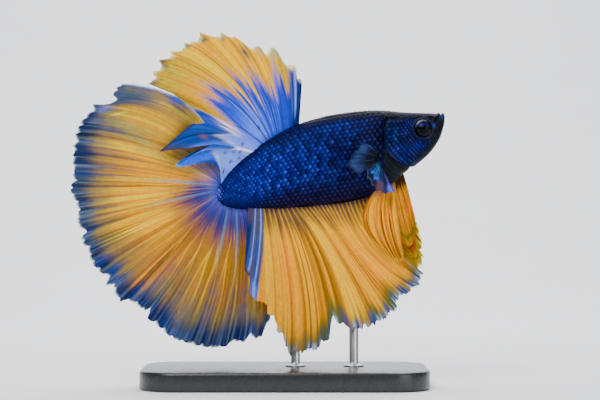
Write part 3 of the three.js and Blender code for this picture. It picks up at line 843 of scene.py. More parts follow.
def seat_mesh(name, side, seats):
    order, i, k, small = seats
    place = on_grid(skin_grid, order, i, k)
    up = on_grid(skin_normals, order, i, k)
    up /= np.linalg.norm(up, axis=1, keepdims=True)
    back = on_grid(skin_grid, order, np.minimum(i + 1.0, len(skin_grid) - 1.01), k) - place
    lie = back - up * (back * up).sum(1, keepdims=True)
    lie /= np.linalg.norm(lie, axis=1, keepdims=True)
    lie += SCALE_LIFT * up
    up -= SCALE_LIFT * lie
    rng = np.random.default_rng(5)
    tint = on_grid(skin_tint, order, i, k) * rng.uniform(0.7, 1.35, (len(i), 1))
    x, z = place[:, 0], place[:, 2]
    share = share_up(x, z)
    lit = smoothstep(0.1, 0.3, share) * falls(0.86, 0.97, share) * falls(15, 22, x)
    # Scales just behind the gill cover are darkened by a painted shade under the cover's edge; those on the
    # cover itself are not.
    away = smoothstep(0.3, 1.9, distance(x, z, gill_edge))
    gill_shade = np.where(inside(x, z, GILL_PLATE), 1, mix(0.3, 1, away))
    tint *= gill_shade[:, None]
    glow = (0.9 * blot(x, z, -1.0, 44.5, 9.0, 4.0, 25) + 0.3) * lit
    draw = rng.random(len(i))
    for low, high, code in GLINTS:
        tint = lay(tint, code, glow * 0.5 * ((draw >= low) & (draw < high)))
    mesh = bpy.data.meshes.new(name)
    mesh.from_pydata((place + up * SEAT["lift"]).tolist(), [], [])
    long, wide = PITCH * SEAT["long"] * small, ROWS_APART * SEAT["wide"] * small
    turn = k / RINGS["sides"]
    root = np.stack([np.interp(i, np.arange(len(shares)), shares), turn if side > 0 else 1 - turn], 1)
    values = {
        "up": up,
        "lie": lie,
        "size": np.stack([long, wide, np.full(len(i), SEAT["thick"])], 1),
        "root": np.concatenate([root, np.zeros((len(i), 1))], 1),
    }
    for label, data in values.items():
        mesh.attributes.new(label, "FLOAT_VECTOR", "POINT").data.foreach_set("vector", data.ravel())
    set_tint(mesh, tint)
    return mesh


# %% The scale's finish, with a painted glint and a painted shade at its rim
# Tones of the scale's pigment: the first is a painted glint near the free edge, the second the rest of the
# scale, the last a painted shade along its rim.
TONES = {"bright": (2.3, 2.1, 1.9), "dull": (0.55, 0.55, 0.6), "rim_shade": (0.25, 0.25, 0.3)}


def soft_range(tree, value, start, end):
    """0 at the start and 1 at the end, with soft shoulders."""
    values = {0: value, 1: start, 2: end}
    return add(tree, "ShaderNodeMapRange", values, interpolation_type="SMOOTHSTEP").outputs[0]


def dimmed(tree, socket, tone):
    return blend(tree, 1.0, socket, (*tone, 1.0), "MULTIPLY")


scale_finish, tree, shader = new_material(
    "fish scale", Roughness=0.38, Specular_IOR_Level=0.07, Specular_Tint=(0.1, 0.3, 1.0, 1.0)
)
spot = add(tree, "ShaderNodeAttribute", attribute_name="spot").outputs["Vector"]
radius = add(tree, "ShaderNodeVectorMath", {0: spot}, operation="LENGTH").outputs["Value"]
values = {"Vector": spot, "Location": (-0.42, 0.0, 0.0), "Rotation": (0, 0, 0.3), "Scale": (2.6, 1.5, 1.0)}
shine = add(tree, "ShaderNodeMapping", values, vector_type="POINT").outputs[0]
reach = add(tree, "ShaderNodeVectorMath", {0: shine}, operation="LENGTH").outputs["Value"]
# A painted glint towards the scale's free edge, and a painted shade round its rim.
scale_glint, rim = soft_range(tree, reach, 1.15, 0.15), soft_range(tree, radius, 0.8, 0.98)
pigment = use(tree, grain, {"Colour": painted(tree), "Scale": 2500.0, "Strength": 0.35})["Colour"]
bright, dull, rim_shade = (dimmed(tree, pigment, tone) for tone in TONES.values())
glinted_and_rim_shaded = blend(tree, rim, blend(tree, scale_glint, dull, bright), rim_shade)
set_colour(tree, shader, glinted_and_rim_shaded)
growth_rings = sums(tree, "SINE", sums(tree, "MULTIPLY", radius, 40.0))
set_relief(tree, shader, growth_rings, 0.12, 0.00002)

# %% Set the scales
BAKE = {"spread": 0.99, "border": 0.005, "patch": 0.0015}  # the skin's unwrap, and half a scale's own patch
set_scales = scale_tree(scale_finish)


def bake_map(piece):
    """Each scale gets a small patch at its root's place on the skin's unwrap."""
    mesh = piece.data
    root, spot = np.empty((2, len(mesh.vertices) * 3))
    mesh.attributes["root"].data.foreach_get("vector", root)
    mesh.attributes["spot"].data.foreach_get("vector", spot)
    root, spot = root.reshape(-1, 3)[:, :2], spot.reshape(-1, 3)[:, :2]
    uv = root * BAKE["spread"] + BAKE["border"] + spot * BAKE["patch"]
    mesh.uv_layers.new(name="OFBake").data.foreach_set("uv", uv[corner_points(mesh)].ravel())


for side, word in ((-1, "right"), (1, "left")):
    for region, seats in split_seats(side).items():
        name = f"{region}_scales_{word}"
        coat = run_tree(name, seat_mesh(name, side, seats), set_scales, plate=plate, size=1.0)
        bake_map(coat)
        face_outwards(coat.data)
        dress(coat, scale_finish, "blue_skin" if region == "body" else "head_skin")
bpy.data.objects.remove(plate)

# %% [markdown]
# ## Eyes
# A betta's eye is a shallow wet dome, deep in a soft socket: a black pupil, an iris that shines blue above
# and is nearly black below, and a pale ring where light catches the upper edge, painted on as a highlight. One
# lathe-like dome carries all of it, so its surface stays perfectly smooth, and a clear coat makes it wet.
# %% Two eyes
EYE_RINGS, EYE_SIDES = 40, 72
PUPIL = 0.98
PUPIL_SHIFT = (0.14, -0.28)  # forward and down


def eye_piece(side):
    tilt = np.linspace(0, math.pi, EYE_RINGS)[1:-1]
    turn = np.linspace(0, 2 * math.pi, EYE_SIDES, endpoint=False)
    a, b = np.meshgrid(tilt, turn, indexing="ij")
    radius = EYE["radius"] * np.sin(a)
    x, z = radius * np.cos(b), radius * np.sin(b)
    dome = EYE["radius"] * EYE["flatness"] * np.cos(a) + 0.1 * bump(radius, 0, 0.9) * (np.cos(a) > 0)
    points = np.stack([EYE["x"] + x, side * (EYE["offset"] + dome), EYE["z"] + z], -1).reshape(-1, 3)
    tops = [(EYE["x"], side * (EYE["offset"] + EYE["radius"] * EYE["flatness"] + 0.1), EYE["z"])]
    tops.append((EYE["x"], side * (EYE["offset"] - EYE["radius"] * EYE["flatness"]), EYE["z"]))
    points = np.concatenate([points, tops])
    points[:, 1] += swim(points[:, 0])
    faces = pointed_tube(EYE_RINGS - 2, EYE_SIDES)
    px, pz = points[:, 0] - EYE["x"], points[:, 2] - EYE["z"]
    far = np.hypot(px, pz)
    pupil = np.hypot(px - PUPIL_SHIFT[0], pz - PUPIL_SHIFT[1])
    c = plain(far, "08090e")
    c = lay(c, "0c1650", falls(1.35, 1.6, pupil) * smoothstep(0.1, 0.6, pz))
    c = lay(c, "121c74", bump(pupil, 1.12, 0.14) * smoothstep(0.1, 0.7, pz))
    c = lay(c, "1a1624", falls(1.3, 1.6, pupil) * smoothstep(0.1, -0.6, pz))
    c = lay(c, "1a2030", bump(far, 1.66, 0.18) * smoothstep(-0.1, 0.7, pz) * 0.8)
    # A painted highlight: the pale crescent where light catches the upper rim, fading to mauve at the left.
    c = lay(c, "7c8496", bump(far, 1.6, 0.2) * blot(px, pz, -1.05, 1.22, 0.75, 0.5, 45) * 1.3)
    c = lay(c, "4a3c50", bump(far, 1.7, 0.16) * blot(px, pz, -1.65, 0.3, 0.4, 0.6) * 0.9)
    # A small painted glint below the pupil.
    c = lay(c, "4a3a1c", blot(px, pz, 0.55, -0.75, 0.22, 0.14, 30) * 0.8)
    c = lay(c, "020203", falls(PUPIL - 0.06, PUPIL + 0.06, pupil))
    return new_piece("eye_ball_right" if side < 0 else "eye_ball_left", points, faces, c)


eye_finish, tree, shader = new_material(
    "wet eye", Roughness=0.25, Coat_Weight=0.05, Coat_Roughness=0.04, Specular_IOR_Level=0.06
)
pigment = use(tree, grain, {"Colour": painted(tree), "Scale": 4000.0, "Strength": 0.3})
set_colour(tree, shader, pigment["Colour"])
for side, word in ((-1, "right"), (1, "left")):
    dress(eye_piece(side), eye_finish, "eye", f"eye_{word}")

# %% [markdown]
# ## How a fin is made
# A fin is a thin skin stretched over bony rays. Each ray leaves the body as one strut and forks up to three
# times before the edge, and the skin between the rays is pleated and cut into small points. So every fin here
# is worked out from the same few curves: where its root lies, where its edge lies, how far each ray reaches
# and how it sways to the side. The lobes of the large fins follow no rule, so their margins are drawn from
# row to row, and the sheet is shifted to them near its edge. From all this come a closed thin sheet with a
# ridge over every ray, and the rays themselves, which Geometry Nodes draw as tapering tubes.
# %% The sheet's middle surface
ROOT_SINK = 0.7  # how deep a fin's root lies in the body
MARGIN_POWER = 5  # the margin's lobes fade quickly towards the root


def ragged_reach(teeth, depth, notches=(), fine=0, fine_depth=0.0):
    """The share of the way to the edge that a ray runs, with uneven teeth, notches and fine points."""

    def at(u):
        uneven = 0.4 + 1.2 * wander(u, teeth, teeth)
        reach = 1 - depth * uneven * np.abs(np.sin(math.pi * teeth * u)) ** 0.8
        for place, deep, wide in notches:
            reach = reach - deep * np.exp(-(((u - place) / wide) ** 2))
        return reach * (1 - fine_depth * np.abs(np.cos(math.pi * fine * u)) ** 2)

    return at


def both_edges(smooth, rows, u):
    """The smooth edge, the edge that runs straight from row to row, and True where the rows reach."""
    places, xs, zs = np.array(rows).T
    drawn = (u >= places[0]) & (u <= places[-1])
    return *smooth(u), np.interp(u, places, xs), np.interp(u, places, zs), drawn


def part_straight(smooth, rows):
    """A smooth edge, but straight from row to row where the rows reach."""

    def at(u):
        x, z, row_x, row_z, drawn = both_edges(smooth, rows, u)
        return np.where(drawn, row_x, x), np.where(drawn, row_z, z)

    return at


def margin_shift(smooth, rows):
    """How far a lobed margin, drawn from row to row, lies from the smooth edge."""

    def at(u):
        x, z, row_x, row_z, drawn = both_edges(smooth, rows, u)
        return np.where(drawn, row_x - x, 0), np.where(drawn, row_z - z, 0)

    return at


def fin_point(fin, u, v):
    """A point of the fin's middle surface, u along the root and v out along a ray."""
    u, v = np.broadcast_arrays(np.asarray(u, float), np.asarray(v, float))
    root_x, root_z = fin["root"](u)
    tip_x, tip_z = fin["edge"](u)
    along = v * fin["reach"](u)
    dx, dz = tip_x - root_x, tip_z - root_z
    arch = 4 * fin["bow"](u) * along * (1 - along) / np.hypot(dx, dz)
    x = root_x + dx * along - dz * arch
    z = root_z + dz * along + dx * arch
    if "margin" in fin:
        shift_x, shift_z = fin["margin"](u)
        x, z = x + shift_x * along**MARGIN_POWER, z + shift_z * along**MARGIN_POWER
    if "curl" in fin:
        curl_x, curl_z = fin["curl"](u, along)
        x, z = x + curl_x, z + curl_z
    return np.stack([x, fin["side"](u, along) + swim(x), z], -1)


def pleats(count, height):
    return lambda u, v: height * v * np.cos(2 * math.pi * count * u)


def furrows(knots, seed):
    """Uneven folds across a fin, from -1 in a furrow to 1 on a crest."""
    return lambda u: 2 * wander(u, knots, seed) - 1


# %% Rays that fork
# How far a ray and its forks stray, how long a fork takes to part, and how thin a ray ends, all as shares.
RAY = {"stray": 0.08, "fork_stray": 0.05, "fork_length": 0.34, "tip": 0.32}


def ray_branches(fin):
    """The fin's rays: for each branch, where it begins and a function that gives its u for any v."""
    rng = np.random.default_rng(fin["seed"])
    count, forks = fin["rays"], fin["forks"]
    gap = 1 / count
    branches = []
    for ray in range(count):
        middle = (ray + 0.5) * gap + rng.uniform(-RAY["stray"], RAY["stray"]) * gap
        jitter = {}
        for number in range(2 ** len(forks)):
            bits = [(number >> level) & 1 for level in range(len(forks))]
            places = []
            for level, place in enumerate(forks):
                key = tuple(bits[:level])
                if key not in jitter:
                    jitter[key] = place + rng.uniform(-RAY["fork_stray"], RAY["fork_stray"])
                places.append(jitter[key])
            start = max([places[level] for level, bit in enumerate(bits) if bit], default=0.0)

            def path(v, middle=middle, bits=bits, places=places):
                u = np.full(np.shape(v), middle)
                for level, (bit, place) in enumerate(zip(bits, places)):
                    aside = smoothstep(place, place + RAY["fork_length"], v)
                    u = u + (2 * bit - 1) * gap / 2 ** (level + 2) * aside
                return np.clip(u, 0, 1)

            branches.append((start, path))
    return branches


def ray_distance(fin, branches, u, v):
    """How far each column is from the nearest ray, in millimetres, for rows at v."""
    chord = np.linalg.norm(np.diff(fin_point(fin, u[:, None], v[None, :]), axis=0), axis=-1)
    width = np.concatenate([chord, chord[-1:]]) / (u[1] - u[0])
    result = np.empty((len(u), len(v)))
    for j, level in enumerate(v):
        places = np.array([path(level) for start, path in branches if start <= level])
        result[:, j] = np.abs(u[:, None] - places[None, :]).min(1) * width[:, j]
    return result


# %% A closed sheet and its rays
# Half the thickness between the rays, what a ray adds to it, and the share of both that is left at the edge.
SHEET = {"half": 0.055, "ridge": 0.075, "ridge_width": 0.16, "edge_ridge": 0.45, "edge": 0.6}


def fin_sheet(name, fin, paint):
    """The fin's thin skin, closed, ridged over the rays and coloured by paint(u, v, x, z, out, edge, ray)."""
    u = np.linspace(0, 1, fin["columns"] + 1)
    v = np.linspace(0, 1, fin["rows"] + 1)
    middle = fin_point(fin, u[:, None], v[None, :])
    normal = surface_normals(middle, False)
    normal *= np.sign(normal[..., 1].sum())
    far = ray_distance(fin, ray_branches(fin), u, v)
    fade = mix(1.0, SHEET["edge_ridge"], v)[None, :]
    thick, ridge = fin.get("half", SHEET["half"]), fin.get("ridge", SHEET["ridge"])
    half = (thick + ridge * bump(far, 0, SHEET["ridge_width"]) * fade) * mix(1, SHEET["edge"], v)[None, :]
    near, back = middle - normal * half[..., None], middle + normal * half[..., None]
    size = near[..., 0].size
    rows = len(v)
    faces = grid_faces(len(u), rows, False)
    loop = list(range(rows))
    loop += [i * rows + rows - 1 for i in range(1, len(u))]
    loop += [(len(u) - 1) * rows + j for j in range(rows - 2, -1, -1)]
    loop += [i * rows for i in range(len(u) - 2, 0, -1)]
    rim = [(b, a, a + size, b + size) for a, b in zip(loop, loop[1:] + loop[:1])]
    faces = np.concatenate([faces, (faces + size)[:, ::-1], np.array(rim)])
    steps = np.linalg.norm(np.diff(middle, axis=1), axis=-1)
    out = np.concatenate([np.zeros((len(u), 1)), np.cumsum(steps, 1)], 1)
    whole = np.broadcast_arrays(u[:, None], v[None, :], middle[..., 0], middle[..., 2])
    tint = paint(*whole, out, out[:, -1:] - out, bump(far, 0, fin.get("ray_width", 0.22)))
    tint = np.concatenate([tint.reshape(-1, 3)] * 2)
    spread = np.stack(whole[:2], -1).reshape(-1, 2)
    points = np.concatenate([near.reshape(-1, 3), back.reshape(-1, 3)])
    return new_piece(name, points, faces, tint, np.concatenate([spread, spread]))


def ray_lines(name, fin, paint):
    """The rays as a mesh of lines, each point with its thickness and colour."""
    points, joins, thick, tints = [], [], [], []
    for start, path in ray_branches(fin):
        begin = max(start, fin.get("ray_start", 0.0))
        v = np.linspace(begin, fin.get("ray_end", 1.0), max(6, int(fin["ray_points"] * (1 - begin))))
        u = path(v)
        line = fin_point(fin, u, v)
        first = len(points)
        points.extend(line.tolist())
        joins.extend((first + n, first + n + 1) for n in range(len(v) - 1))
        thick.extend(mix(fin["ray_thick"], fin["ray_thick"] * RAY["tip"], v).tolist())
        steps = np.linalg.norm(np.diff(line, axis=0), axis=1)
        out = np.concatenate([[0], np.cumsum(steps)])
        base = out[-1] * begin / max(1 - begin, 0.05)
        place = (u, v, line[:, 0], line[:, 2], out + base, out[-1] - out)
        tints.extend(paint(*place, np.ones(len(v))).tolist())
    mesh = bpy.data.meshes.new(name)
    mesh.from_pydata(points, joins, [])
    mesh.attributes.new("thick", "FLOAT", "POINT").data.foreach_set("value", thick)
    set_tint(mesh, np.array(tints))
    return mesh


# %% The tree that turns lines into tapering rays
def ray_tree(material):
    """Round rays along lines, as thick at each point as its 'thick' says."""
    inputs = [("Lines", GEOMETRY, None), ("Sides", "NodeSocketInt", None), ("Thickness", FLOAT, None)]
    tree, given, result = new_group("rays along lines", inputs, [("Rays", GEOMETRY)], "GeometryNodeTree")
    radius = sums(tree, "MULTIPLY", read_attribute(tree, "thick", "FLOAT"), given["Thickness"])
    curve = add(tree, "GeometryNodeMeshToCurve", {0: given["Lines"]})
    sized = add(tree, "GeometryNodeSetCurveRadius", {"Curve": curve.outputs[0], "Radius": radius})
    circle = add(tree, "GeometryNodeCurvePrimitiveCircle", {"Resolution": given["Sides"], "Radius": 1.0})
    values = {"Curve": sized.outputs[0], "Profile Curve": circle.outputs[0], "Fill Caps": True}
    tube = add(tree, "GeometryNodeCurveToMesh", values)
    if "Scale" in tube.inputs:
        tree.links.new(radius, tube.inputs["Scale"])
    real = add(tree, "GeometryNodeRealizeInstances", {0: tube.outputs[0]})
    final = add(tree, "GeometryNodeSetMaterial", {"Geometry": real.outputs[0], "Material": material})
    tree.links.new(final.outputs[0], result[0])
    return tree


# %% Fin skin and fin ray finishes
fin_finish, tree, shader = new_material("fin skin", Roughness=0.5, Specular_IOR_Level=0.04)
silk = use(tree, streaks, {"Colour": painted(tree), "Across": 420.0, "Strength": 0.3})
pigment = use(tree, grain, {"Colour": silk["Colour"], "Scale": 1200.0, "Strength": 0.25})
set_colour(tree, shader, pigment["Colour"])
set_relief(tree, shader, silk["Height"], 0.35, 0.00006)

ray_finish, tree, shader = new_material("fin ray", Roughness=0.42, Specular_IOR_Level=0.05)
pigment = use(tree, grain, {"Colour": painted(tree), "Scale": 1600.0, "Strength": 0.3})
set_colour(tree, shader, pigment["Colour"])
set_relief(tree, shader, pigment["Height"], 0.3, 0.00004)

draw_rays = ray_tree(ray_finish)


def make_fin(node, fin, paint, slot="yellow_fin", skin=None):
    """One fin: its skin stands for the CAD node, and its rays ride with it."""
    sheet = fin_sheet(f"{node}_skin", fin, paint)
    dress(sheet, skin or fin_finish, slot, node)

    def ray_paint(u, v, x, z, out, edge, ray):
        return paint(u, v, x, z, out, edge, ray) * fin.get("ray_gain", 1.25)

    lines = ray_lines(f"{node}_rays", fin, ray_paint)
    rays = run_tree(f"{node}_rays", lines, draw_rays, sides=6, thickness=1.0)
    face_outwards(rays.data)
    dress(rays, ray_finish, slot)


# %% [markdown]
# ## The tail fin
# This is a halfmoon: the tail fin opens to a half circle, golden between the rays, with a streaky blue band
# and a white lacy line at the edge. Its first ray arches back over the top. The colour is worked out from how
# far a point lies from the root and from the edge, and which ray it is on, so it follows the fin's own form.
# %% Folds of the three large fins
BACK_FOLD, TAIL_FOLD, BELLY_FOLD = pleats(10, 0.3), pleats(12, 0.3), pleats(11, 0.25)
# The ruffles bend the sheets, and the paint also follows them: painted highlight on their crests, painted
# shade in their furrows.
BACK_RUFFLE, TAIL_RUFFLE, BELLY_RUFFLE = furrows(26, 61), furrows(40, 62), furrows(30, 63)


# %% Tail fin's sway
def tail_side(u, v):
    top = mix(0.55, -1.3, smoothstep(0, 0.55, v)) * smoothstep(0.34, 0.08, u)
    bottom = 0.45 * smoothstep(0.7, 0.9, u) + 2.6 * smoothstep(0.05, 0.6, v) * smoothstep(0.76, 0.94, u)
    wave = 1.1 * v * v * np.sin(2 * math.pi * (1.7 * u + 0.15)) * smoothstep(0.12, 0.3, u)
    folds = TAIL_FOLD(u, v) + 0.45 * v * TAIL_RUFFLE(u) * smoothstep(0, 0.08, u)
    return top + bottom + wave * smoothstep(0.95, 0.75, u) + folds + 0.1 * v * np.cos(192 * math.pi * u)


# %% Tail fin's outline
TAIL_EDGE = through(
    [
        (0.0, -34.2, 63.3), (0.05, -36.0, 60.8), (0.1, -40.0, 58.6), (0.17, -43.3, 53.6),
        (0.25, -44.1, 47.0), (0.33, -44.4, 41.2), (0.42, -43.0, 34.5), (0.51, -40.9, 27.8),
        (0.61, -36.0, 20.6), (0.72, -28.6, 14.6), (0.82, -20.0, 8.6), (0.9, -12.6, 7.9),
        (0.96, -6.2, 9.6), (1.0, -3.2, 13.6),
    ]
)
TAIL_MARGIN = [
    (0.0, -34.2, 63.3), (0.022, -35.3, 62.6), (0.045, -36.1, 61.0), (0.056, -35.5, 59.7),
    (0.068, -36.8, 59.0), (0.085, -38.6, 58.8), (0.1, -40.4, 59.0), (0.106, -39.9, 58.0),
    (0.125, -41.2, 57.0), (0.145, -42.4, 55.6), (0.163, -43.3, 54.3), (0.188, -43.9, 52.3),
    (0.2, -43.3, 51.2), (0.21, -44.3, 50.5), (0.224, -43.8, 49.2), (0.236, -44.3, 48.3),
    (0.26, -44.4, 46.3), (0.27, -43.9, 45.5), (0.29, -44.3, 44.1), (0.303, -43.7, 43.1),
    (0.314, -44.6, 42.3), (0.332, -44.8, 41.0), (0.35, -44.3, 39.7), (0.373, -43.5, 38.0),
    (0.382, -43.0, 37.2), (0.41, -43.3, 35.2), (0.432, -43.1, 33.4), (0.443, -41.5, 32.6),
    (0.46, -42.7, 31.1), (0.478, -42.4, 29.7), (0.49, -41.3, 29.1), (0.515, -41.1, 27.2),
    (0.535, -40.5, 25.6), (0.556, -39.1, 24.1), (0.57, -38.0, 23.4), (0.579, -36.8, 23.1),
    (0.592, -37.8, 20.9), (0.604, -35.9, 21.3), (0.622, -35.9, 19.5), (0.64, -34.7, 17.6),
    (0.653, -33.3, 18.1), (0.68, -31.2, 17.1), (0.703, -29.6, 15.6), (0.712, -28.3, 16.3),
    (0.722, -29.2, 14.0), (0.745, -27.1, 12.6), (0.775, -24.5, 10.4), (0.802, -21.8, 9.2),
    (0.828, -19.1, 8.3), (0.865, -15.8, 7.8), (0.9, -12.5, 7.9), (0.914, -11.1, 9.3),
    (0.934, -8.9, 8.6), (0.95, -7.3, 10.6), (0.962, -6.3, 9.6), (0.974, -5.0, 9.9),
    (0.986, -4.2, 12.1), (1.0, -3.2, 13.6),
]
print("the tail fin's margin has", len(TAIL_MARGIN), "points")

# %% Tail fin
tail_fin = {
    "seed": 3,
    "rays": 12,
    "forks": (0.12, 0.34, 0.62),
    "columns": 480,
    "rows": 64,
    "ray_points": 42,
    "ray_thick": 0.17,
    "root": through(
        [(0.0, -13.2, 43.2), (0.3, -13.8, 42.1), (0.5, -13.8, 40.6), (0.75, -12.8, 39.2), (1.0, -8.0, 38.0)]
    ),
    "edge": TAIL_EDGE,
    "margin": margin_shift(TAIL_EDGE, TAIL_MARGIN),
    "reach": ragged_reach(48, 0.012, (), 96, 0.008),
    "bow": lambda u: -6.9 * falls(-0.05, 0.34, u) + 1.6 * smoothstep(0.5, 1.0, u),
    "side": tail_side,
}

# %% Gold and root of the tail fin
PALE_RAYS = [
    (0.292, 0.0045, 0.8), (0.42, 0.005, 0.95), (0.815, 0.004, 0.6), (0.89, 0.0035, 0.75),
]


def tail_gold(u, v, x, z, out, ray):
    c = plain(u, "daa22c")
    fine = sway(u, 170, 1)
    broad = sway(u, 44, 2)
    folds = sway(u, 22, 3)
    ruffle = TAIL_RUFFLE(u) * smoothstep(0.1, 0.5, v)
    # Light and dark streaks: partly the fin's own streaks, partly painted highlight and painted shade that
    # follow its folds and ruffles.
    c = lay(c, "f8c844", (0.1 + 1.2 * fine + 1.3 * broad + 0.2 * ruffle) * 0.9)
    furrow = -0.15 - 1.3 * fine - 1.1 * broad - 0.6 * folds - 0.35 * ruffle
    c = lay(c, "98701a", furrow * 0.9 * (1 - 0.6 * ray))
    c = lay(c, "a87620", smoothstep(0.5, 0.66, u) * 0.85 * (1 - 0.7 * ray))
    c = lay(c, "8a641c", smoothstep(0.52, 0.66, u) * (0.1 - 1.5 * broad) * 0.8 * (1 - ray))
    c = lay(c, "dcae62", ray * smoothstep(0.5, 0.62, u) * 0.35)
    glow = wander(u, 130, 15) * (0.5 + wander(v, 6, 16)) - 0.45
    c = lay(c, "cc8008", smoothstep(0.42, 0.6, u) * bump(v, 0.6, 0.35) * 1.5 * glow)
    c = lay(c, "8f7028", bump(u, 0.47, 0.06) * smoothstep(0.55, 0.85, v) * (0.6 - fine) * 0.9)
    c = lay(c, "c98a1c", blot(x, z, -27.5, 26.8, 10.0, 2.6, 38) * 0.8 * (0.6 + broad + fine))
    c = lay(c, "a89c60", smoothstep(0.27, 0.02, u) * (0.35 + 1.6 * np.abs(fine)) * 0.9)
    c = lay(c, "5f6a66", smoothstep(0.25, 0.02, u) * (-0.05 - 1.8 * broad) * smoothstep(0.3, 0.8, v))
    c = lay(c, "a8a480", blot(x, z, -31.5, 52.6, 6.0, 1.5, 146) * (0.7 + 1.5 * fine))
    c = lay(c, "6c6250", blot(x, z, -22.0, 58.4, 3.6, 1.6, 128) * (0.8 + 1.5 * fine))
    c = lay(c, "7c6844", bump(out, 10.0, 4.0) * smoothstep(0.3, 0.16, u) * smoothstep(0.02, 0.1, u) * 0.8)
    c = lay(c, "ac6c3c", bump(out, 8.5, 3.0) * smoothstep(0.26, 0.4, u) * (0.7 + fine) * 0.8)
    c = lay(c, "7a4a6a", bump(out, 6.0, 3.2) * smoothstep(0.28, 0.4, u) * (0.8 + 1.5 * fine) * 0.95)
    c = lay(c, "4c3a6a", bump(out, 3.6, 2.6) * smoothstep(0.2, 0.4, u) * (1.0 + fine) * 0.9)
    c = lay(c, "2c3484", bump(out, 4.4, 2.2) * smoothstep(0.2, 0.3, u) * (0.8 + fine) * 0.7)
    c = lay(c, "0c48b8", bump(out, 0.0, 3.4) * 0.97)
    c = lay(c, "2c4a94", bump(out, 5.0, 3.4) * smoothstep(0.26, 0.1, u) * 0.8)
    for place, width, length in PALE_RAYS:
        line = bump(u, place, width * mix(2.2, 0.8, v)) * smoothstep(length, length - 0.4, v)
        c = lay(c, "6488b8", line * smoothstep(0.0, 0.1, v) * falls(0.25, 0.6, v) * 0.9)
        c = lay(c, "d4c08c", line * smoothstep(0.15, 0.45, v) * 0.5)
    return c


# %% Blue band of the tail fin
TAIL_BAND = through(
    [
        (0, 1.0), (0.06, 1.4), (0.12, 2.2), (0.2, 3.4), (0.33, 3.5), (0.45, 2.5), (0.55, 2.6),
        (0.65, 3.6), (0.8, 4.2), (1, 2.6),
    ]
)


def tail_band(c, u, v, x, z, edge):
    (band,), fine = TAIL_BAND(u), sway(u, 170, 1)
    wide = band * (0.75 + 0.4 * wander(u, 120, 4) + 0.5 * wander(u, 30, 7))
    haze = falls(0.9, mix(3.4, 4.2, smoothstep(0.4, 0.6, u)), edge / wide + 1.2 * fine)
    c = lay(c, "6c7258", haze * np.clip(0.6 + 2.4 * fine, 0, 1) * 0.85)
    c = lay(c, "4c5a54", haze * np.clip(0.35 - 2.4 * fine, 0, 1) * 0.75)
    flecks = haze * (wander(u, 84, 18) - 0.45) * 2.0 * (0.4 + wander(v, 30, 19))
    c = lay(c, "686478", flecks * (1 - bump(u, 0.56, 0.12)))
    glowing = blot(x, z, -28.3, 23.8, 7.0, 1.7, 46)
    c = lay(c, "dc9a14", glowing * (0.6 + 1.5 * fine))
    c = lay(c, "8a5814", glowing * (-0.1 - 2.0 * fine))
    low = smoothstep(0.34, 0.6, u)
    tones = np.clip(low + 1.6 * sway(u, 60, 5), 0, 1)[..., None]
    blue = mix(colour("223a5c"), colour("122a6c"), tones)
    mask = falls(0.35, 1.4, edge / wide + 0.5 * fine)
    c = c + (blue - c) * (mask * 0.97)[..., None]
    c = lay(c, "1a3c98", mask * (wander(u, 70, 8) - 0.55) * 1.7)
    c = lay(c, "0e1a38", mask * (0.35 - wander(u, 90, 6)) * 2.2)
    c = lay(c, "50688c", mask * np.clip(1.2 * fine + 0.1, 0, 1) * (0.3 + wander(u, 50, 9)))
    c = lay(c, "6478bc", mask * low * np.clip(2.4 * fine - 0.2, 0, 1) * falls(1.0, 3.2, edge) * 0.6)
    c = lay(c, "4a5a64", (1 - mask) * low * falls(2.5, 6.5, edge) * (0.35 - 1.2 * fine) * 0.9)
    threads = np.clip(4.0 * wander(u, 240, 20) - 2.4, 0, 1) * falls(0.6, 1.5, edge / wide)
    c = lay(c, "7c8ea4", threads * (1 - 0.5 * low) * 0.65)
    return lay(c, "d4dcf4", falls(0.16, 0.42, edge) * np.clip(3.0 * wander(u, 110, 10) - 0.9, 0, 1))


# %% First ray and single spots of the tail fin
TAIL_SPOTS = [
    ("3458c8", 0.95, -22.6, 60.2, 1.3, 0.9),
    ("6a5638", 0.7, -20.4, 54.6, 3.0, 1.3, 45),
    ("7c86bc", 0.9, -37.5, 58.1, 2.2, 0.8, 18),
    ("d8d4a8", 0.8, -34.8, 57.0, 1.4, 0.16, 14),
    ("1c2a5a", 0.9, -41.0, 56.0, 2.2, 0.8, 48),
]


def tail_top(c, u, v, x, z):
    top = smoothstep(0.05, 0.0, u)
    c = lay(c, "5c6a70", smoothstep(0.1, 0.02, u) * smoothstep(0.6, 0.9, v) * (0.7 + 1.4 * sway(u, 44, 2)))
    c = lay(c, "4a5c8c", smoothstep(0.05, 0.01, u) * bump(v, 0.86, 0.06) * 0.7)
    c = lay(c, "b4bce0", falls(0.002, 0.012, u) * smoothstep(0.3, 0.55, v) * (0.5 + 0.6 * wander(v, 30, 12)))
    c = lay(c, "33487e", top * bump(v, 0.62, 0.1) * 0.8)
    c = lay_spots(c, x, z, TAIL_SPOTS)
    return lay(c, "44587c", bump(u, 0.05, 0.025) * smoothstep(0.6, 0.85, v) * 0.8)


def tail_paint(u, v, x, z, out, edge, ray):
    c = tail_band(tail_gold(u, v, x, z, out, ray), u, v, x, z, edge)
    return tail_top(c, u, v, x, z)


make_fin("caudal_fin", tail_fin, tail_paint)

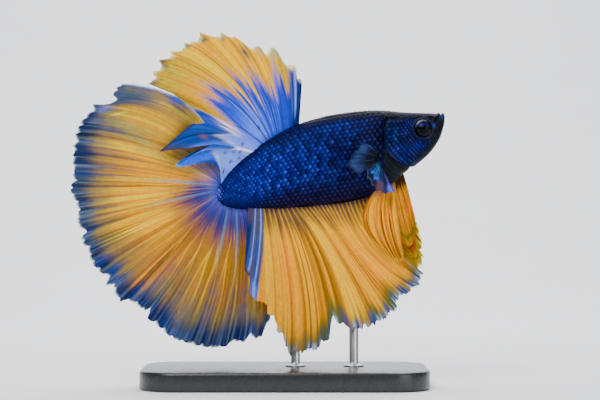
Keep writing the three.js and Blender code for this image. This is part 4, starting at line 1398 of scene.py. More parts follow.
# %% [markdown]
# ## The back fin
# The back fin is a second fan that leans over the tail: pale blue at its base with dark rays and spots, blue
# tongues that rise between the rays, and gold beyond. Its last rays part from the fan and hang over the tail
# fin as two blue spikes, which run straight from row to row because the smooth fan would round them off.
# %% Back fin's root, bow and tongues
BACK_BOW = through(
    [
        (0, 0), (0.2, -0.8), (0.47, -1.9), (0.6, -2.4), (0.71, -2.5), (0.77, -0.9), (0.84, -0.4),
        (0.9, -3.2), (0.935, -0.3), (0.965, -3.0), (1, -0.6),
    ]
)
BACK_ROOT = through(
    [
        (0, 2.9), (0.17, 0.7), (0.35, -1.4), (0.47, -2.4), (0.6, -3.1), (0.72, -3.9), (0.84, -5.0),
        (0.9, -5.7), (0.935, -6.4), (0.965, -9.0), (1, -13.4),
    ]
)
TONGUES = through(
    [
        (0, 0.9), (0.06, 0.8), (0.13, 0.62), (0.22, 0.58), (0.32, 0.46), (0.45, 0.44), (0.58, 0.36),
        (0.7, 0.42), (0.79, 0.55), (0.84, 1.3), (1, 1.3),
    ]
)


def back_root(u):
    (x,) = BACK_ROOT(u)
    return x, at_x(spine_back, x) - ROOT_SINK


# %% Back fin's outline
BACK_FAN = through(
    [
        (0.0, 3.6, 64.4), (0.08, 2.0, 67.4), (0.18, -2.9, 70.8), (0.27, -6.4, 71.4),
        (0.37, -11.3, 73.3), (0.47, -17.6, 73.9), (0.56, -21.6, 71.5), (0.65, -26.7, 69.0),
        (0.74, -29.0, 63.6),
    ]
)
BACK_MARGIN = [
    (0.0, 3.6, 64.2), (0.02, 3.1, 64.6), (0.035, 2.5, 64.5), (0.05, 2.25, 65.4), (0.07, 2.3, 67.1),
    (0.085, 1.8, 67.5), (0.12, 0.1, 67.4), (0.135, -0.6, 68.5), (0.15, -1.4, 70.0),
    (0.164, -2.0, 70.9), (0.178, -2.8, 71.3), (0.194, -3.4, 70.6), (0.207, -3.9, 69.7),
    (0.22, -4.5, 70.0), (0.235, -5.0, 71.0), (0.25, -5.6, 71.5), (0.264, -6.2, 71.4),
    (0.276, -6.6, 70.9), (0.29, -7.2, 70.9), (0.33, -9.4, 72.6), (0.358, -10.8, 73.5),
    (0.368, -11.3, 73.2), (0.39, -12.5, 73.8), (0.402, -13.4, 74.5), (0.411, -13.8, 73.5),
    (0.43, -15.0, 73.4), (0.455, -16.7, 73.9), (0.472, -18.1, 74.4), (0.478, -17.9, 73.4),
    (0.49, -18.4, 72.6), (0.505, -19.1, 72.4), (0.514, -19.8, 72.5), (0.524, -20.0, 71.8),
    (0.54, -21.3, 72.2), (0.55, -21.1, 71.2), (0.57, -22.1, 70.4), (0.592, -24.6, 70.4),
    (0.605, -23.7, 69.5), (0.625, -24.7, 68.8), (0.648, -26.7, 68.5), (0.665, -26.0, 67.4),
    (0.685, -26.4, 66.4), (0.7, -27.8, 66.1), (0.712, -27.9, 65.5), (0.722, -27.1, 64.9),
    (0.74, -28.6, 63.6),
]
BACK_SPIKES = [
    (0.74, -29.0, 63.6), (0.78, -23.7, 61.5), (0.81, -21.0, 59.2), (0.84, -18.0, 56.1),
    (0.9, -26.2, 49.1), (0.935, -14.9, 50.7), (0.958, -22.2, 46.9), (0.965, -22.9, 46.3),
    (0.972, -22.0, 45.8), (1.0, -15.0, 47.4),
]
print("the back fin's margin has", len(BACK_MARGIN), "points and its spikes", len(BACK_SPIKES))


# %% Back fin
def back_side(u, v):
    main = 2.4 * v * smoothstep(0.3, 0.65, u)
    spikes = -0.4 - v * (3.4 - 1.3 * v)
    folds = BACK_FOLD(u, v) + 0.35 * v * BACK_RUFFLE(u) * (u < 0.8) + 0.08 * v * np.cos(160 * math.pi * u)
    return mix(main, spikes, smoothstep(0.8, 0.88, u)) + folds


back_fin = {
    "seed": 5,
    "rays": 10,
    "forks": (0.16, 0.42, 0.68),
    "columns": 400,
    "rows": 60,
    "ray_points": 34,
    "ray_thick": 0.17,
    "root": back_root,
    "edge": part_straight(BACK_FAN, BACK_SPIKES),
    "margin": margin_shift(BACK_FAN, BACK_MARGIN),
    "reach": lambda u: 1 - 0.006 * np.abs(np.cos(80 * math.pi * u)) * (u < 0.74),
    "bow": lambda u: BACK_BOW(u)[0],
    "side": back_side,
}

# %% Gold and blue tongues of the back fin
DARK_TONGUES = [
    ("2c4ccc", 0.9, -4.3, 61.2, 4.6, 0.6, 116),
    ("4a68e0", 0.85, -1.7, 62.9, 4.8, 0.5, 99),
]


def back_gold(u, v):
    c = plain(u, "deb24c")
    fine = sway(u, 150, 21)
    broad = sway(u, 34, 22)
    ruffle = BACK_RUFFLE(u) * smoothstep(0.2, 0.6, v)
    # Light and dark streaks: partly the fin's own streaks, partly painted highlight and painted shade that
    # follow its ruffles.
    c = lay(c, "fcc854", (0.2 + 1.2 * fine + 1.3 * broad + 0.2 * ruffle) * 0.85)
    c = lay(c, "8c6c2c", (-0.2 - 1.3 * fine - 1.1 * broad - 0.35 * ruffle) * 0.9)
    c = lay(c, "b08c50", smoothstep(0.3, 0.12, u) * 0.7 * (0.7 - fine))
    c = lay(c, "bfb074", smoothstep(0.55, 0.7, u) * smoothstep(0.5, 0.9, v) * (0.7 + 1.4 * fine))
    return lay(c, "e6a62a", bump(u, 0.7, 0.07) * bump(v, 0.55, 0.2) * 0.6)


def back_tongues(c, u, v, x, z, ray):
    (tongue,), fine = TONGUES(u), sway(u, 150, 21)
    tongue = tongue + 0.36 * sway(u, 46, 23) + 0.12 * fine
    blue = falls(-0.07, 0.07, v - tongue)
    c = lay(c, "b99aa0", bump(v, tongue + 0.07, 0.05) * 0.6)
    c = lay(c, "1e46c8", blue)
    c = lay(c, "6a66c4", blue * bump(v, tongue - 0.03, 0.05) * 0.7)
    c = lay(c, "4070f0", blue * (0.1 + fine) * smoothstep(0.1, 0.3, u))
    c = lay_spots(c, x, z, DARK_TONGUES)
    pale = blue * falls(0.12, 0.45, v) * smoothstep(0.26, 0.6, u)
    c = lay(c, "3c66f4", pale * 0.95)
    c = lay(c, "7092fa", pale * falls(0.06, 0.34, v + 0.3 * fine) * smoothstep(0.35, 0.6, u) * 0.9)
    c = lay(c, "a0b6fc", blue * (2.6 * fine - 0.4) * falls(0.3, 0.55, v) * smoothstep(0.2, 0.4, u) * 0.9)
    c = lay(c, "e0def2", blue * bump(v, 0.45, 0.16) * smoothstep(0.72, 0.8, u) * (0.8 + fine) * 0.9)
    c = lay(c, "2340a4", blue * ray * 0.85 * smoothstep(0.97, 0.82, u))
    return lay(c, "1b3fae", blue * falls(0.0, 0.09, v) * smoothstep(0.9, 0.6, u) * 0.85)


# %% Front edge, margin and spikes of the back fin
MARGIN_SPOTS = [
    ("454e66", 0.95, -17.2, 72.7, 1.2, 0.6, 15),
    ("454e66", 0.95, -13.2, 73.2, 0.5, 0.9, 20),
    ("454e66", 0.95, -8.4, 70.0, 0.5, 1.5, 38),
    ("454e66", 0.95, -20.2, 71.6, 1.2, 0.4, 30),
]
DOTS = [
    (-12.5, 49.0), (-10.8, 49.2), (-9.4, 49.2), (-9.6, 47.9), (-11.4, 47.1), (-8.9, 50.8),
    (-12.9, 45.0), (-5.5, 54.2),
]


def back_margin(c, u, v, x, z, edge):
    front = smoothstep(0.14, 0.09, u)
    c = lay(c, "0c2670", front * falls(0.85, 0.95, v))
    stripes = bump(u, 0.08, 0.012) + 0.5 * bump(u, 0.115, 0.008)
    c = lay(c, "94a8e4", front * stripes * smoothstep(0.1, 0.4, v))
    c = lay(c, "2c54a8", bump(u, 0.03, 0.006) * smoothstep(0.2, 0.5, v) * 0.95)
    c = lay(c, "0a2070", smoothstep(0.024, 0.014, u) * 0.97)
    c = lay(c, "c8c6c4", front * smoothstep(0.88, 0.97, v) * smoothstep(0.02, 0.05, u) * 0.9)
    c = lay(c, "5a6ca8", falls(0.4, 1.4, edge) * smoothstep(0.04, 0.01, u) * 0.9)
    between = np.abs(np.sin(10 * math.pi * u)) ** 1.5
    c = lay(c, "4c5660", falls(0.4, 2.4, edge) * between * smoothstep(0.56, 0.6, u) * 0.85 * (u < 0.84))
    c = lay_spots(c, x, z, MARGIN_SPOTS)
    lobes = bump(u, 0.172, 0.022) + 0.8 * bump(u, 0.25, 0.02)
    c = lay(c, "b4b4ac", falls(0.8, 2.6, edge) * lobes * 0.9)
    c = lay(c, "e0dcd0", falls(0.2, 1.1, edge) * (1 - between) * 0.85)
    return lay(c, "cfc8bc", falls(0.05, 0.3, edge) * 0.7)


def back_spikes(c, u, v, x, z, edge):
    web, fine = smoothstep(0.835, 0.85, u), sway(u, 150, 21)
    c = lay(c, "84a0f8", web * falls(0.3, 0.45, v) * 0.95)
    c = lay(c, "e2e6ff", bump(u, 0.934, 0.005) * falls(0.6, 0.9, v))
    c = lay_spots(c, x, z, [("0a1454", 0.97, *dot, 0.42, 0.2, 75) for dot in DOTS])
    teal = web * smoothstep(0.36, 0.52, v)
    c = lay(c, "0f489c", teal * 0.97)
    c = lay(c, "1a62c8", teal * (0.1 + 1.6 * fine))
    c = lay(c, "0a3466", teal * bump(u, 0.885, 0.012) * 0.7)
    c = lay(c, "2e356c", teal * falls(0.2, 1.1, edge) * smoothstep(0.935, 0.925, u) * 0.9)
    c = lay(c, "54484c", teal * bump(u, 0.9, 0.012) * smoothstep(0.8, 0.97, v) * 0.9)
    c = lay(c, "5c7ce0", teal * bump(u, 0.924, 0.006) * 0.9)
    c = lay(c, "6f9cf0", teal * bump(u, 0.945, 0.004) * 0.95)
    c = lay(c, "042c40", teal * bump(u, 0.955, 0.006) * 0.95)
    c = lay(c, "2468dc", teal * smoothstep(0.964, 0.97, u) * smoothstep(0.992, 0.982, u) * 0.95)
    c = lay(c, "86a8d0", web * falls(0.2, 0.9, edge) * bump(u, 0.965, 0.012) * smoothstep(0.8, 0.95, v) * 0.9)
    return lay(c, "9c5c44", blot(x, z, -17.0, 52.3, 0.8, 0.4, -20) * web * 0.9)


def back_paint(u, v, x, z, out, edge, ray):
    c = back_tongues(back_gold(u, v), u, v, x, z, ray)
    return back_spikes(back_margin(c, u, v, x, z, edge), u, v, x, z, edge)


make_fin("dorsal_fin", back_fin, back_paint)

# %% [markdown]
# ## The belly's long fin
# The anal fin runs along the belly. It is brown between golden rays near the body, bright gold further out,
# and folds into a slate blue edge behind, where it crosses the tail fin. Its long lobes come from the
# margin's rows, and its soft creases from uneven furrows that deepen towards the edge.
# %% Anal fin's root and sway
def belly_root(u):
    x = mix(18.3, -7.6, u)
    return x, at_x(spine_belly, x) + ROOT_SINK


def belly_side(u, v):
    wave = 0.8 * v * np.sin(2 * math.pi * (1.3 * u + 0.15)) * smoothstep(1, 0.7, u)
    rear = (-0.35 - 0.9 * v) * smoothstep(0.76, 0.93, u)
    folds = BELLY_FOLD(u, v) + 0.55 * v * BELLY_RUFFLE(u) * smoothstep(0.9, 0.84, u)
    return wave + rear + folds + 0.09 * v * np.cos(176 * math.pi * u)


# %% Anal fin's outline
BELLY_FAN = through(
    [
        (0.0, 28.9, 23.8), (0.15, 28.6, 22.2), (0.3, 27.0, 20.4), (0.4, 24.8, 18.4),
        (0.465, 23.2, 15.8), (0.53, 21.0, 13.8), (0.59, 17.6, 12.3), (0.635, 13.2, 12.0),
        (0.668, 9.9, 11.2), (0.7, 7.6, 8.4), (0.757, 4.2, 6.9), (0.8, 1.2, 6.4), (0.835, -0.3, 9.2),
        (0.87, -2.3, 13.2), (0.9, -3.9, 15.2), (0.94, -6.2, 17.8), (1.0, -8.2, 24.2),
    ]
)
BELLY_REAR = [
    (0.9, -3.9, 15.2), (0.92, -5.4, 17.4), (0.942, -6.4, 17.9), (0.957, -7.1, 18.8),
    (0.965, -7.2, 20.2), (0.977, -7.4, 22.8), (0.987, -8.0, 23.3), (1.0, -8.5, 24.4),
]
BELLY_MARGIN = [
    (0.0, 28.9, 23.8), (0.03, 29.5, 23.3), (0.06, 28.6, 23.1), (0.1, 28.8, 22.4),
    (0.15, 28.1, 21.9), (0.2, 28.6, 21.1), (0.29, 26.9, 20.6), (0.33, 26.2, 19.1),
    (0.39, 24.5, 18.9), (0.425, 23.8, 17.6), (0.465, 23.6, 15.3), (0.49, 22.6, 15.6),
    (0.515, 21.6, 14.6), (0.53, 21.1, 13.5), (0.56, 19.7, 13.4), (0.566, 19.3, 12.1),
    (0.58, 18.2, 12.7), (0.588, 17.7, 11.9), (0.598, 16.8, 12.6), (0.606, 16.2, 11.4),
    (0.622, 14.5, 12.1), (0.628, 14.1, 10.9), (0.638, 12.9, 12.3), (0.656, 11.0, 12.9),
    (0.664, 10.1, 14.7), (0.672, 9.5, 11.0), (0.68, 9.5, 9.2), (0.7, 7.7, 8.8), (0.71, 7.1, 7.2),
    (0.757, 4.2, 7.1), (0.765, 3.5, 6.5), (0.79, 1.8, 7.0), (0.803, 1.0, 5.6), (0.822, 0.1, 8.0),
    (0.838, -0.5, 10.4), (0.85, -1.9, 10.6), (0.86, -1.6, 12.3), (0.874, -2.4, 14.2),
    (0.886, -3.9, 14.5), (0.898, -3.6, 16.9), (0.92, -5.4, 17.3),
]
BELLY_BOW = through(
    [
        (0.0, -2.0), (0.15, -2.3), (0.3, -2.4), (0.4, -1.1), (0.5, 0.3), (0.6, 1.5), (0.67, 2.0),
        (0.76, 1.9), (0.86, 0.8), (1.0, 0.0),
    ]
)
belly_edge = part_straight(BELLY_FAN, BELLY_REAR)
print("the anal fin's margin has", len(BELLY_MARGIN), "points")

# %% Anal fin
belly_fin = {
    "seed": 8,
    "rays": 29,
    "ray_width": 0.15,
    "forks": (0.3, 0.62),
    "columns": 520,
    "rows": 60,
    "ray_points": 34,
    "ray_thick": 0.15,
    "root": belly_root,
    "edge": belly_edge,
    "margin": margin_shift(belly_edge, BELLY_MARGIN),
    "reach": ragged_reach(29, 0.016, (), 87, 0.014),
    "bow": lambda u: BELLY_BOW(u)[0],
    "side": belly_side,
}

# %% Gold and margin of the anal fin
def belly_gold(u, v, x, z, out, edge, ray):
    c = plain(u, "e6aa1e")
    fine = sway(u, 160, 31)
    broad = sway(u, 40, 32)
    folds = sway(u, 16, 33)
    ruffle = BELLY_RUFFLE(u) * smoothstep(0.1, 0.5, v)
    # Light and dark streaks: partly the fin's own streaks, partly painted highlight and painted shade that
    # follow its folds and ruffles.
    c = lay(c, "fdc038", (0.15 + 1.4 * fine + 1.2 * broad + 0.3 * ruffle) * 0.9)
    c = lay(c, "9c6800", (-0.12 - 1.5 * fine - 1.1 * broad - 0.5 * folds - 0.4 * ruffle) * 0.9)
    c = lay(c, "c98a1e", bump(u, 0.06, 0.08) * 0.5 + bump(u, 0.86, 0.04) * 0.4)
    c = lay(c, "e0941c", blot(x, z, 0.5, 24.0, 9.0, 1.6, 100) * 0.45)
    c = lay(c, "80701e", falls(1.0, 7.0, edge) * (0.25 - 1.6 * broad) * smoothstep(0.83, 0.7, u))
    c = lay(c, "c2a448", falls(0.5, 4.0, edge) * (0.3 + fine) * smoothstep(0.83, 0.7, u))
    root = falls(3.0, 8.0, out + 3.0 * broad)
    c = lay(c, "6a5240", root * (1 - 0.85 * ray) * 0.92)
    c = lay(c, "ba9048", root * ray * 0.8)
    c = lay(c, "3a3044", falls(0.8, 2.6, out) * 0.75 * (1 - 0.4 * ray))
    between = np.abs(np.sin(29 * math.pi * u))
    tipped = smoothstep(0.88, 0.8, u)
    rim = falls(0.5, 3.0, edge + 2.0 * fine) * tipped
    c = lay(c, "5f6c40", falls(1.5, 5.0, edge) * tipped * (0.2 - 1.4 * broad))
    c = lay(c, "66704c", falls(0.8, 4.2, edge + 3.0 * fine) * tipped * mix(0.85, 0.5, u))
    c = lay(c, "34529c", rim * between * (2.2 * wander(u, 44, 34) - 0.6))
    c = lay(c, "b8ccf0", falls(0.2, 1.8, edge) * tipped * (2.4 * fine + 0.1) * (0.3 + wander(u, 30, 38)))
    return lay(c, "c9b2b4", bump(u, 0.03, 0.01) * smoothstep(0.6, 0.75, v) * (0.4 + 0.6 * wander(v, 24, 39)))


# %% Rear edge of the anal fin
def belly_rear(c, u, v):
    rear = smoothstep(-0.006, 0.006, u - mix(0.89, 0.935, v))
    c = lay(c, "46527c", rear * 0.97)
    c = lay(c, "5f5a70", rear * (wander(u, 150, 37) - 0.4) * 2.0 * falls(0.3, 0.6, v))
    c = lay(c, "2a48a4", rear * (wander(u, 120, 36) - 0.4) * 1.8 * smoothstep(0.2, 0.5, v))
    c = lay(c, "7ea6ea", rear * bump(u, mix(0.905, 0.955, v), 0.004) * 0.95)
    c = lay(c, "74a0ea", rear * bump(u, mix(0.945, 0.985, v), 0.0035) * 0.95)
    c = lay(c, "0c2a74", smoothstep(-0.004, 0.004, u - mix(0.968, 0.997, v)) * smoothstep(0.1, 0.3, v) * 0.95)
    c = lay(c, "5a4258", smoothstep(0.0, 0.02, u - mix(0.955, 1.01, v)) * falls(0.1, 0.35, v) * 0.95)
    c = lay(c, "3f62de", rear * smoothstep(0.8, 0.9, v) * smoothstep(0.973, 0.963, u) * 0.9)
    c = lay(c, "8fb0f4", rear * smoothstep(0.8, 0.9, v) * bump(u, 0.947, 0.006) * 0.9)
    c = lay(c, "584440", smoothstep(0.9, 0.97, v) * smoothstep(0.973, 0.98, u) * 0.9)
    return lay(c, "ee9a24", smoothstep(0.93, 0.97, v) * (bump(u, 0.894, 0.006) + bump(u, 0.918, 0.006)) * 0.9)


def belly_paint(u, v, x, z, out, edge, ray):
    return belly_rear(belly_gold(u, v, x, z, out, edge, ray), u, v)


make_fin("anal_fin", belly_fin, belly_paint)

# %% [markdown]
# ## Breast and belly fins
# The breast fins are clear and beat all the time; the near one shows a hazy lobe and a patch of bright blue
# where its rays gather. They are painted nearly solid, in the colours that show through them. The belly fins
# are long orange ribbons with a few strong rays; crosswise curls ruffle the left one's outer half.
# %% Clear fin skin
clear_finish, tree, shader = new_material("clear fin skin", Roughness=0.45, Specular_IOR_Level=0.06)
silk = use(tree, streaks, {"Colour": painted(tree), "Across": 90.0, "Strength": 0.2})
mottle = use(tree, grain, {"Colour": silk["Colour"], "Scale": 1400.0, "Strength": 0.35})
set_colour(tree, shader, mottle["Colour"])
sheet_place = add(tree, "ShaderNodeUVMap", uv_map="shape").outputs[0]
across, along = add(tree, "ShaderNodeSeparateXYZ", {0: sheet_place}).outputs[:2]
thin = add(tree, "ShaderNodeMapRange", {0: along, 1: 0.8, 2: 1.0, 3: 0.97, 4: 0.86}).outputs[0]
solid = add(tree, "ShaderNodeMapRange", {0: across, 1: 0.45, 2: 0.52, 3: thin, 4: 0.96}).outputs[0]
tree.links.new(solid, shader.inputs["Alpha"])

# %% Breast fin's shape
HUB = (19.9, 47.3)  # the fin sweeps back about this point
BREAST_EDGE = through(
    [
        (0.0, 17.6, 50.6), (0.08, 16.2, 51.1), (0.17, 14.6, 50.3), (0.25, 13.5, 48.8),
        (0.32, 12.7, 46.9), (0.38, 13.2, 45.1), (0.43, 15.0, 44.2), (0.48, 16.4, 45.2),
        (0.56, 17.0, 43.5), (0.66, 17.9, 42.0), (0.76, 18.8, 40.9), (0.88, 20.6, 40.3),
        (1.0, 22.9, 40.6),
    ]
)


def breast_fin(side, sweep):
    cos, sin = math.cos(-sweep), math.sin(-sweep)
    fold = pleats(8, 0.16)

    def edge(u):
        x, z = BREAST_EDGE(u)
        dx, dz = x - HUB[0], z - HUB[1]
        return HUB[0] + dx * cos - dz * sin, HUB[1] + dx * sin + dz * cos

    return {
        "seed": 13,
        "rays": 12,
        "forks": (0.45,),
        "columns": 150,
        "rows": 48,
        "ray_points": 20,
        "ray_thick": 0.05,
        "ray_gain": 0.6,
        "root": lambda u: (mix(19.7, 20.0, u), mix(48.3, 46.3, u)),
        "edge": edge,
        "reach": ragged_reach(9, 0.07, [(0.2, 0.08, 0.05)], 24, 0.03),
        "half": 0.04,
        "ridge": 0.015,
        "bow": lambda u: 0.0 * u,
        "side": lambda u, v: side * (3.6 + 1.5 * smoothstep(0, 0.2, v) + 1.3 * v) + fold(u, v),
    }


# %% Breast fin's colours
def breast_paint(u, v, x, z, out, edge, ray):
    c = plain(u, "1f3366")
    cloud = smoothstep(0.5, 0.9, v) * (blot(x, z, 14.4, 46.0, 2.0, 1.6) + blot(x, z, 16.2, 50.0, 1.2, 0.9))
    c = lay(c, "33497c", cloud)
    c = lay(c, "44609a", ray * smoothstep(0.46, 0.4, u) * smoothstep(0.3, 0.6, v) * 0.3)
    c = lay(c, "0d0c18", falls(0.35, 0.8, v) * smoothstep(0.5, 0.42, u) * 0.95)
    c = lay(c, "10164a", smoothstep(0.86, 0.99, v) * smoothstep(0.46, 0.4, u) * 0.85)
    c = lay(c, "12141c", bump(u, 0.47, 0.05) * 0.95)
    for place in (0.04, 0.2, 0.33, 0.43, 0.5):
        c = lay(c, "3c5a60", bump(u, place, 0.006) * bump(v, 0.35, 0.16) * 0.7)
    patch = smoothstep(0.5, 0.56, u) * smoothstep(0.86, 0.8, u)
    spots = wander(v, 13, 41) * wander(u, 46, 42) * 4
    c = lay(c, "0b2a5e", patch * 0.97)
    c = lay(c, "1d54a8", patch * (spots - 0.9) * smoothstep(0.85, 0.65, v))
    bright = blot(x, z, 18.2, 44.8, 0.4, 0.3) + blot(x, z, 19.0, 43.6, 0.36, 0.5, 60)
    c = lay(c, "4a68e0", patch * bright * 0.9)
    for place in (0.58, 0.64, 0.7, 0.76):
        glint = bump(u, place, 0.007) * smoothstep(0.05, 0.15, v) * smoothstep(0.75, 0.45, v)
        c = lay(c, "4aa4bc", glint * 0.9)
    c = lay(c, "101828", patch * smoothstep(0.7, 0.8, v) * 0.8)
    c = lay(c, "46547c", falls(0.15, 0.5, edge) * bump(u, 0.6, 0.12) * 0.9)
    c = lay(c, "6c4c5c", smoothstep(0.55, 0.75, v) * bump(u, 0.82, 0.07) * 0.9)
    c = lay(c, "2c4450", falls(0.1, 0.25, v) * bump(u, 0.62, 0.2) * 0.6)
    c = lay(c, "121830", smoothstep(0.87, 0.93, u) * 0.95)
    c = lay(c, "454a9c", bump(u, 0.965, 0.018) * smoothstep(0.2, 0.5, v) * 0.95)
    c = lay(c, "6c74ec", bump(u, 0.96, 0.03) * smoothstep(0.65, 0.9, v) * 0.95)
    return c


make_fin("pectoral_fin_right", breast_fin(-1, 0.0), breast_paint, "clear_fin", clear_finish)
make_fin("pectoral_fin_left", breast_fin(1, 0.5), breast_paint, "clear_fin", clear_finish)

# %% Right belly fin's shape
RIGHT_CREST, LEFT_CREST = furrows(17, 71), furrows(15, 72)


def right_belly_side(u, v):
    hang = 2.4 * np.sin(0.75 * math.pi * v) * (0.55 + 0.45 * np.sin(math.pi * u))
    crest = 0.55 * RIGHT_CREST(u) * smoothstep(0.05, 0.35, v)
    return -1.2 - hang - crest + 0.08 * v * np.cos(40 * math.pi * u)


right_belly_fin = {
    "seed": 17,
    "rays": 5,
    "forks": (0.25, 0.55),
    "columns": 130,
    "rows": 80,
    "ray_points": 40,
    "ray_thick": 0.17,
    "root": lambda u: (mix(23.0, 19.8, u), mix(43.9, 42.0, u)),
    "edge": through([(0.0, 24.8, 27.4), (0.3, 24.5, 26.0), (0.6, 23.1, 26.6), (1.0, 21.0, 28.8)]),
    "reach": ragged_reach(5, 0.03, (), 20, 0.015),
    "bow": lambda u: mix(-0.2, -4.2, u),
    "side": right_belly_side,
}


# %% Left belly fin's shape
def crinkle(u, v, start=0.0):
    """Crosswise curls of the fin's outer half, from -1 to 1."""
    turns = 7.0 * v + 1.2 * u + 1.1 * wander(u, 6, 73) + start
    return np.sin(2 * math.pi * turns) * smoothstep(0.66, 0.8, v)


def left_belly_side(u, v):
    return 1.1 + 1.9 * v + 0.45 * LEFT_CREST(u) * smoothstep(0.05, 0.4, v) + 0.42 * crinkle(u, v)


left_belly_fin = {
    "seed": 18,
    "rays": 5,
    "forks": (0.3, 0.6),
    "columns": 130,
    "rows": 110,
    "ray_points": 60,
    "ray_thick": 0.16,
    "root": lambda u: (mix(24.7, 22.4, u), mix(45.3, 43.6, u)),
    "edge": through(
        [(0.0, 28.4, 30.6), (0.3, 28.9, 27.9), (0.6, 28.7, 25.2), (0.85, 27.0, 24.6), (1.0, 23.8, 27.2)]
    ),
    "reach": ragged_reach(5, 0.05, (), 20, 0.02),
    "bow": lambda u: mix(0.2, -0.2, u),
    "side": left_belly_side,
    "curl": lambda u, v: (0.4 * crinkle(u, v, 0.3), 0.3 * crinkle(u, v, 0.8)),
}


# %% Belly fins' colours
def right_belly_paint(u, v, x, z, out, edge, ray):
    c = plain(u, "d48e1e")
    streak = sway(u, 24, 51)
    fine = sway(u, 70, 53)
    crest = RIGHT_CREST(u) * smoothstep(0.05, 0.35, v)
    # Light and dark streaks: partly the fin's own streaks, partly painted highlight on its ridges' crests and
    # painted shade in their furrows.
    c = lay(c, "fcb844", (0.1 + 0.8 * streak + 1.3 * fine + 1.1 * crest) * 0.9)
    c = lay(c, "804a04", (-0.05 - 0.8 * streak - 1.3 * fine - 1.1 * crest) * 0.95 * (1 - 0.7 * ray))
    c = lay(c, "eeae5c", ray * 0.35)
    c = lay(c, "ac6c06", smoothstep(0.5, 0.95, v) * (0.55 - 0.5 * crest))
    c = lay(c, "a87068", falls(1.8, 4.0, out) * 0.85)
    c = lay(c, "2c2030", falls(0.6, 2.4, out) * 0.9)
    c = lay(c, "e8c47c", falls(0.1, 0.5, edge) * 0.6)
    c = lay(c, "4a3218", smoothstep(0.93, 1.0, u) * 0.8)
    return c


def left_belly_paint(u, v, x, z, out, edge, ray):
    c = plain(u, "dc9e0a")
    streak = sway(u, 26, 52)
    fine = sway(u, 70, 54)
    crest, curl = LEFT_CREST(u), crinkle(u, v)
    # Light and dark streaks: partly the fin's own streaks, partly painted highlight on its ridges' crests and
    # painted shade in their furrows.
    c = lay(c, "fcba10", (0.2 + streak + 1.2 * fine + 0.8 * crest) * 0.9 * smoothstep(0.8, 0.4, v))
    c = lay(c, "8a5000", (-0.12 - streak - 1.2 * fine - 0.8 * crest) * 0.9 * (1 - 0.7 * ray))
    c = lay(c, "a8943c", smoothstep(0.64, 0.69, v + 0.1 * u + 0.3 * fine) * 0.85)
    c = lay(c, "6e5e20", bump(v, 0.665, 0.02) * smoothstep(0.2, 0.4, u) * 0.8)
    c = lay(c, "c46a0c", bump(v, 0.79, 0.055) * smoothstep(0.12, 0.35, u) * 0.95)
    c = lay(c, "9c4c08", bump(v, 0.81, 0.03) * smoothstep(0.3, 0.5, u) * 0.8)
    # Paler on the curls' crests with painted highlights at their tops, and painted shade in their hollows.
    c = lay(c, "ccb858", np.clip(curl, 0, 1) * 0.6)
    c = lay(c, "5c4a14", np.clip(-curl, 0, 1) * 0.6 * smoothstep(0.5, 0.2, u))
    c = lay(c, "e8e4c4", np.clip(curl - 0.5, 0, 1) * 2.4 * smoothstep(0.5, 0.25, u))
    # Near black at the root: partly the fin's dark root, partly a painted shadow of the throat.
    c = lay(c, "120e0c", falls(2.2, 3.6, out + 1.6 * fine) * 0.95)
    c = lay(c, "e0cc88", falls(0.1, 0.7, edge) * 0.7)
    c = lay(c, "55406a", falls(0.0, 0.3, edge) * 0.5)
    return c


make_fin("pelvic_fin_right", right_belly_fin, right_belly_paint)
make_fin("pelvic_fin_left", left_belly_fin, left_belly_paint)

# %% [markdown]
# ## The display stand
# The stand is not part of the fish. It is a plain rounded plate of black acrylic with two steel rods, so it
# is kept quiet: a satin plate with softly rounded edges, and brushed rods with small flared feet that stand
# on the plate and end just inside the belly.
# %% Plate
STAND = {"length": 60.0, "depth": 32.0, "height": 4.0, "corner": 8.0, "bevel": 0.6, "turns": 16, "steps": 5}


def plate_ring(inset, z):
    half_x, half_y, corner = STAND["length"] / 2, STAND["depth"] / 2, STAND["corner"]
    ring = []
    for quarter, (sign_x, sign_y) in enumerate([(1, 1), (-1, 1), (-1, -1), (1, -1)]):
        for turn in np.linspace(0, math.pi / 2, STAND["turns"]):
            a = turn + quarter * math.pi / 2
            middle_x, middle_y, reach = sign_x * (half_x - corner), sign_y * (half_y - corner), corner - inset
            ring.append((middle_x + reach * math.cos(a), middle_y + reach * math.sin(a), z))
    return ring


def stand_plate():
    bevel, height = STAND["bevel"], STAND["height"]
    rings = []
    for turn in np.linspace(0, math.pi / 2, STAND["steps"]):
        rings.append(plate_ring(bevel * (1 - math.sin(turn)), bevel * (1 - math.cos(turn))))
    for turn in np.linspace(math.pi / 2, 0, STAND["steps"]):
        rings.append(plate_ring(bevel * (1 - math.sin(turn)), height - bevel * (1 - math.cos(turn))))
    return new_piece("stand_plate", np.array(rings).reshape(-1, 3), flat_tube(len(rings), len(rings[0])))


acrylic, tree, shader = new_material("black acrylic", Roughness=0.28, Specular_IOR_Level=0.5)
dust = use(tree, grain, {"Colour": (0.018, 0.019, 0.021, 1.0), "Scale": 900.0, "Strength": 0.12})
set_colour(tree, shader, dust["Colour"])
dull = add(tree, "ShaderNodeMapRange", {0: dust["Height"], 3: 0.26, 4: 0.29}).outputs[0]
tree.links.new(dull, shader.inputs["Roughness"])
dress(stand_plate(), acrylic, "stand_black", "stand_base")

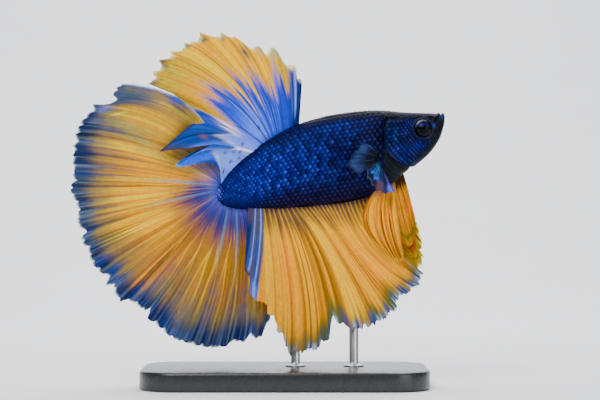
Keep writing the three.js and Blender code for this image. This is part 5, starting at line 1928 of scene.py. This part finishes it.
# %% Rods
ROD = {"radius": 1.0, "side": 2.6, "tuck": 1.4, "turns": 48}
ROD |= {"foot": 2.2, "foot_height": 0.8, "foot_wall": 0.25}
ROD_TIP = [(0.0, 0.4), (0.15, 0.1), (0.5, 0.0)]  # how far in from the rod's side, and how far below its top
ROD_X = {"front": 14.5, "rear": 2.2}

steel, tree, shader = new_material("brushed steel", Metallic=1.0, Roughness=0.3)
place = add(tree, "ShaderNodeTexCoord").outputs["Object"]
drawn = add(tree, "ShaderNodeMapping", {"Vector": place, "Scale": (6000.0, 6000.0, 120.0)}).outputs[0]
lines = add(tree, "ShaderNodeTexNoise", {"Vector": drawn, "Scale": 1.0, "Detail": 3.0}).outputs[0]
worn = add(tree, "ShaderNodeMapRange", {0: lines, 3: 0.22, 4: 0.42}).outputs[0]
tree.links.new(worn, shader.inputs["Roughness"])
metal = use(tree, grain, {"Colour": (0.56, 0.57, 0.59, 1.0), "Scale": 300.0, "Strength": 0.08})
set_colour(tree, shader, metal["Colour"])
set_relief(tree, shader, lines, 0.15, 0.00002)


def stand_rod(word, x):
    """A rod with a flared foot; its top goes a little way into the belly."""
    top = float(at_x(spine_belly, x)) + ROD["tuck"]
    foot, height = STAND["height"], ROD["foot_height"]
    profile = [(ROD["foot"], foot), (ROD["foot"], foot + ROD["foot_wall"])]
    for turn in np.linspace(0, math.pi / 2, 8)[1:]:
        flare = (ROD["foot"] - 0.2 - ROD["radius"]) * (1 - math.sin(turn))
        profile.append((ROD["radius"] + flare, foot + 0.3 + (height - 0.3) * (1 - math.cos(turn))))
    profile += [(ROD["radius"] - inwards, top - below) for inwards, below in ROD_TIP]
    turns = np.linspace(0, 2 * math.pi, ROD["turns"], endpoint=False)
    y = ROD["side"] + swim(x)
    points = [(x + radius * math.cos(t), y + radius * math.sin(t), z) for radius, z in profile for t in turns]
    return new_piece(f"stand_post_{word}", points, flat_tube(len(profile), ROD["turns"]))


for word, x in ROD_X.items():
    dress(stand_rod(word, x), steel, "stand_steel", f"stand_rod_{word}")

# %% [markdown]
# ## Tidying up
# Meshes that nothing uses any more are removed.
# %% Unused meshes
for mesh in [m for m in bpy.data.meshes if m.users == 0]:
    bpy.data.meshes.remove(mesh)
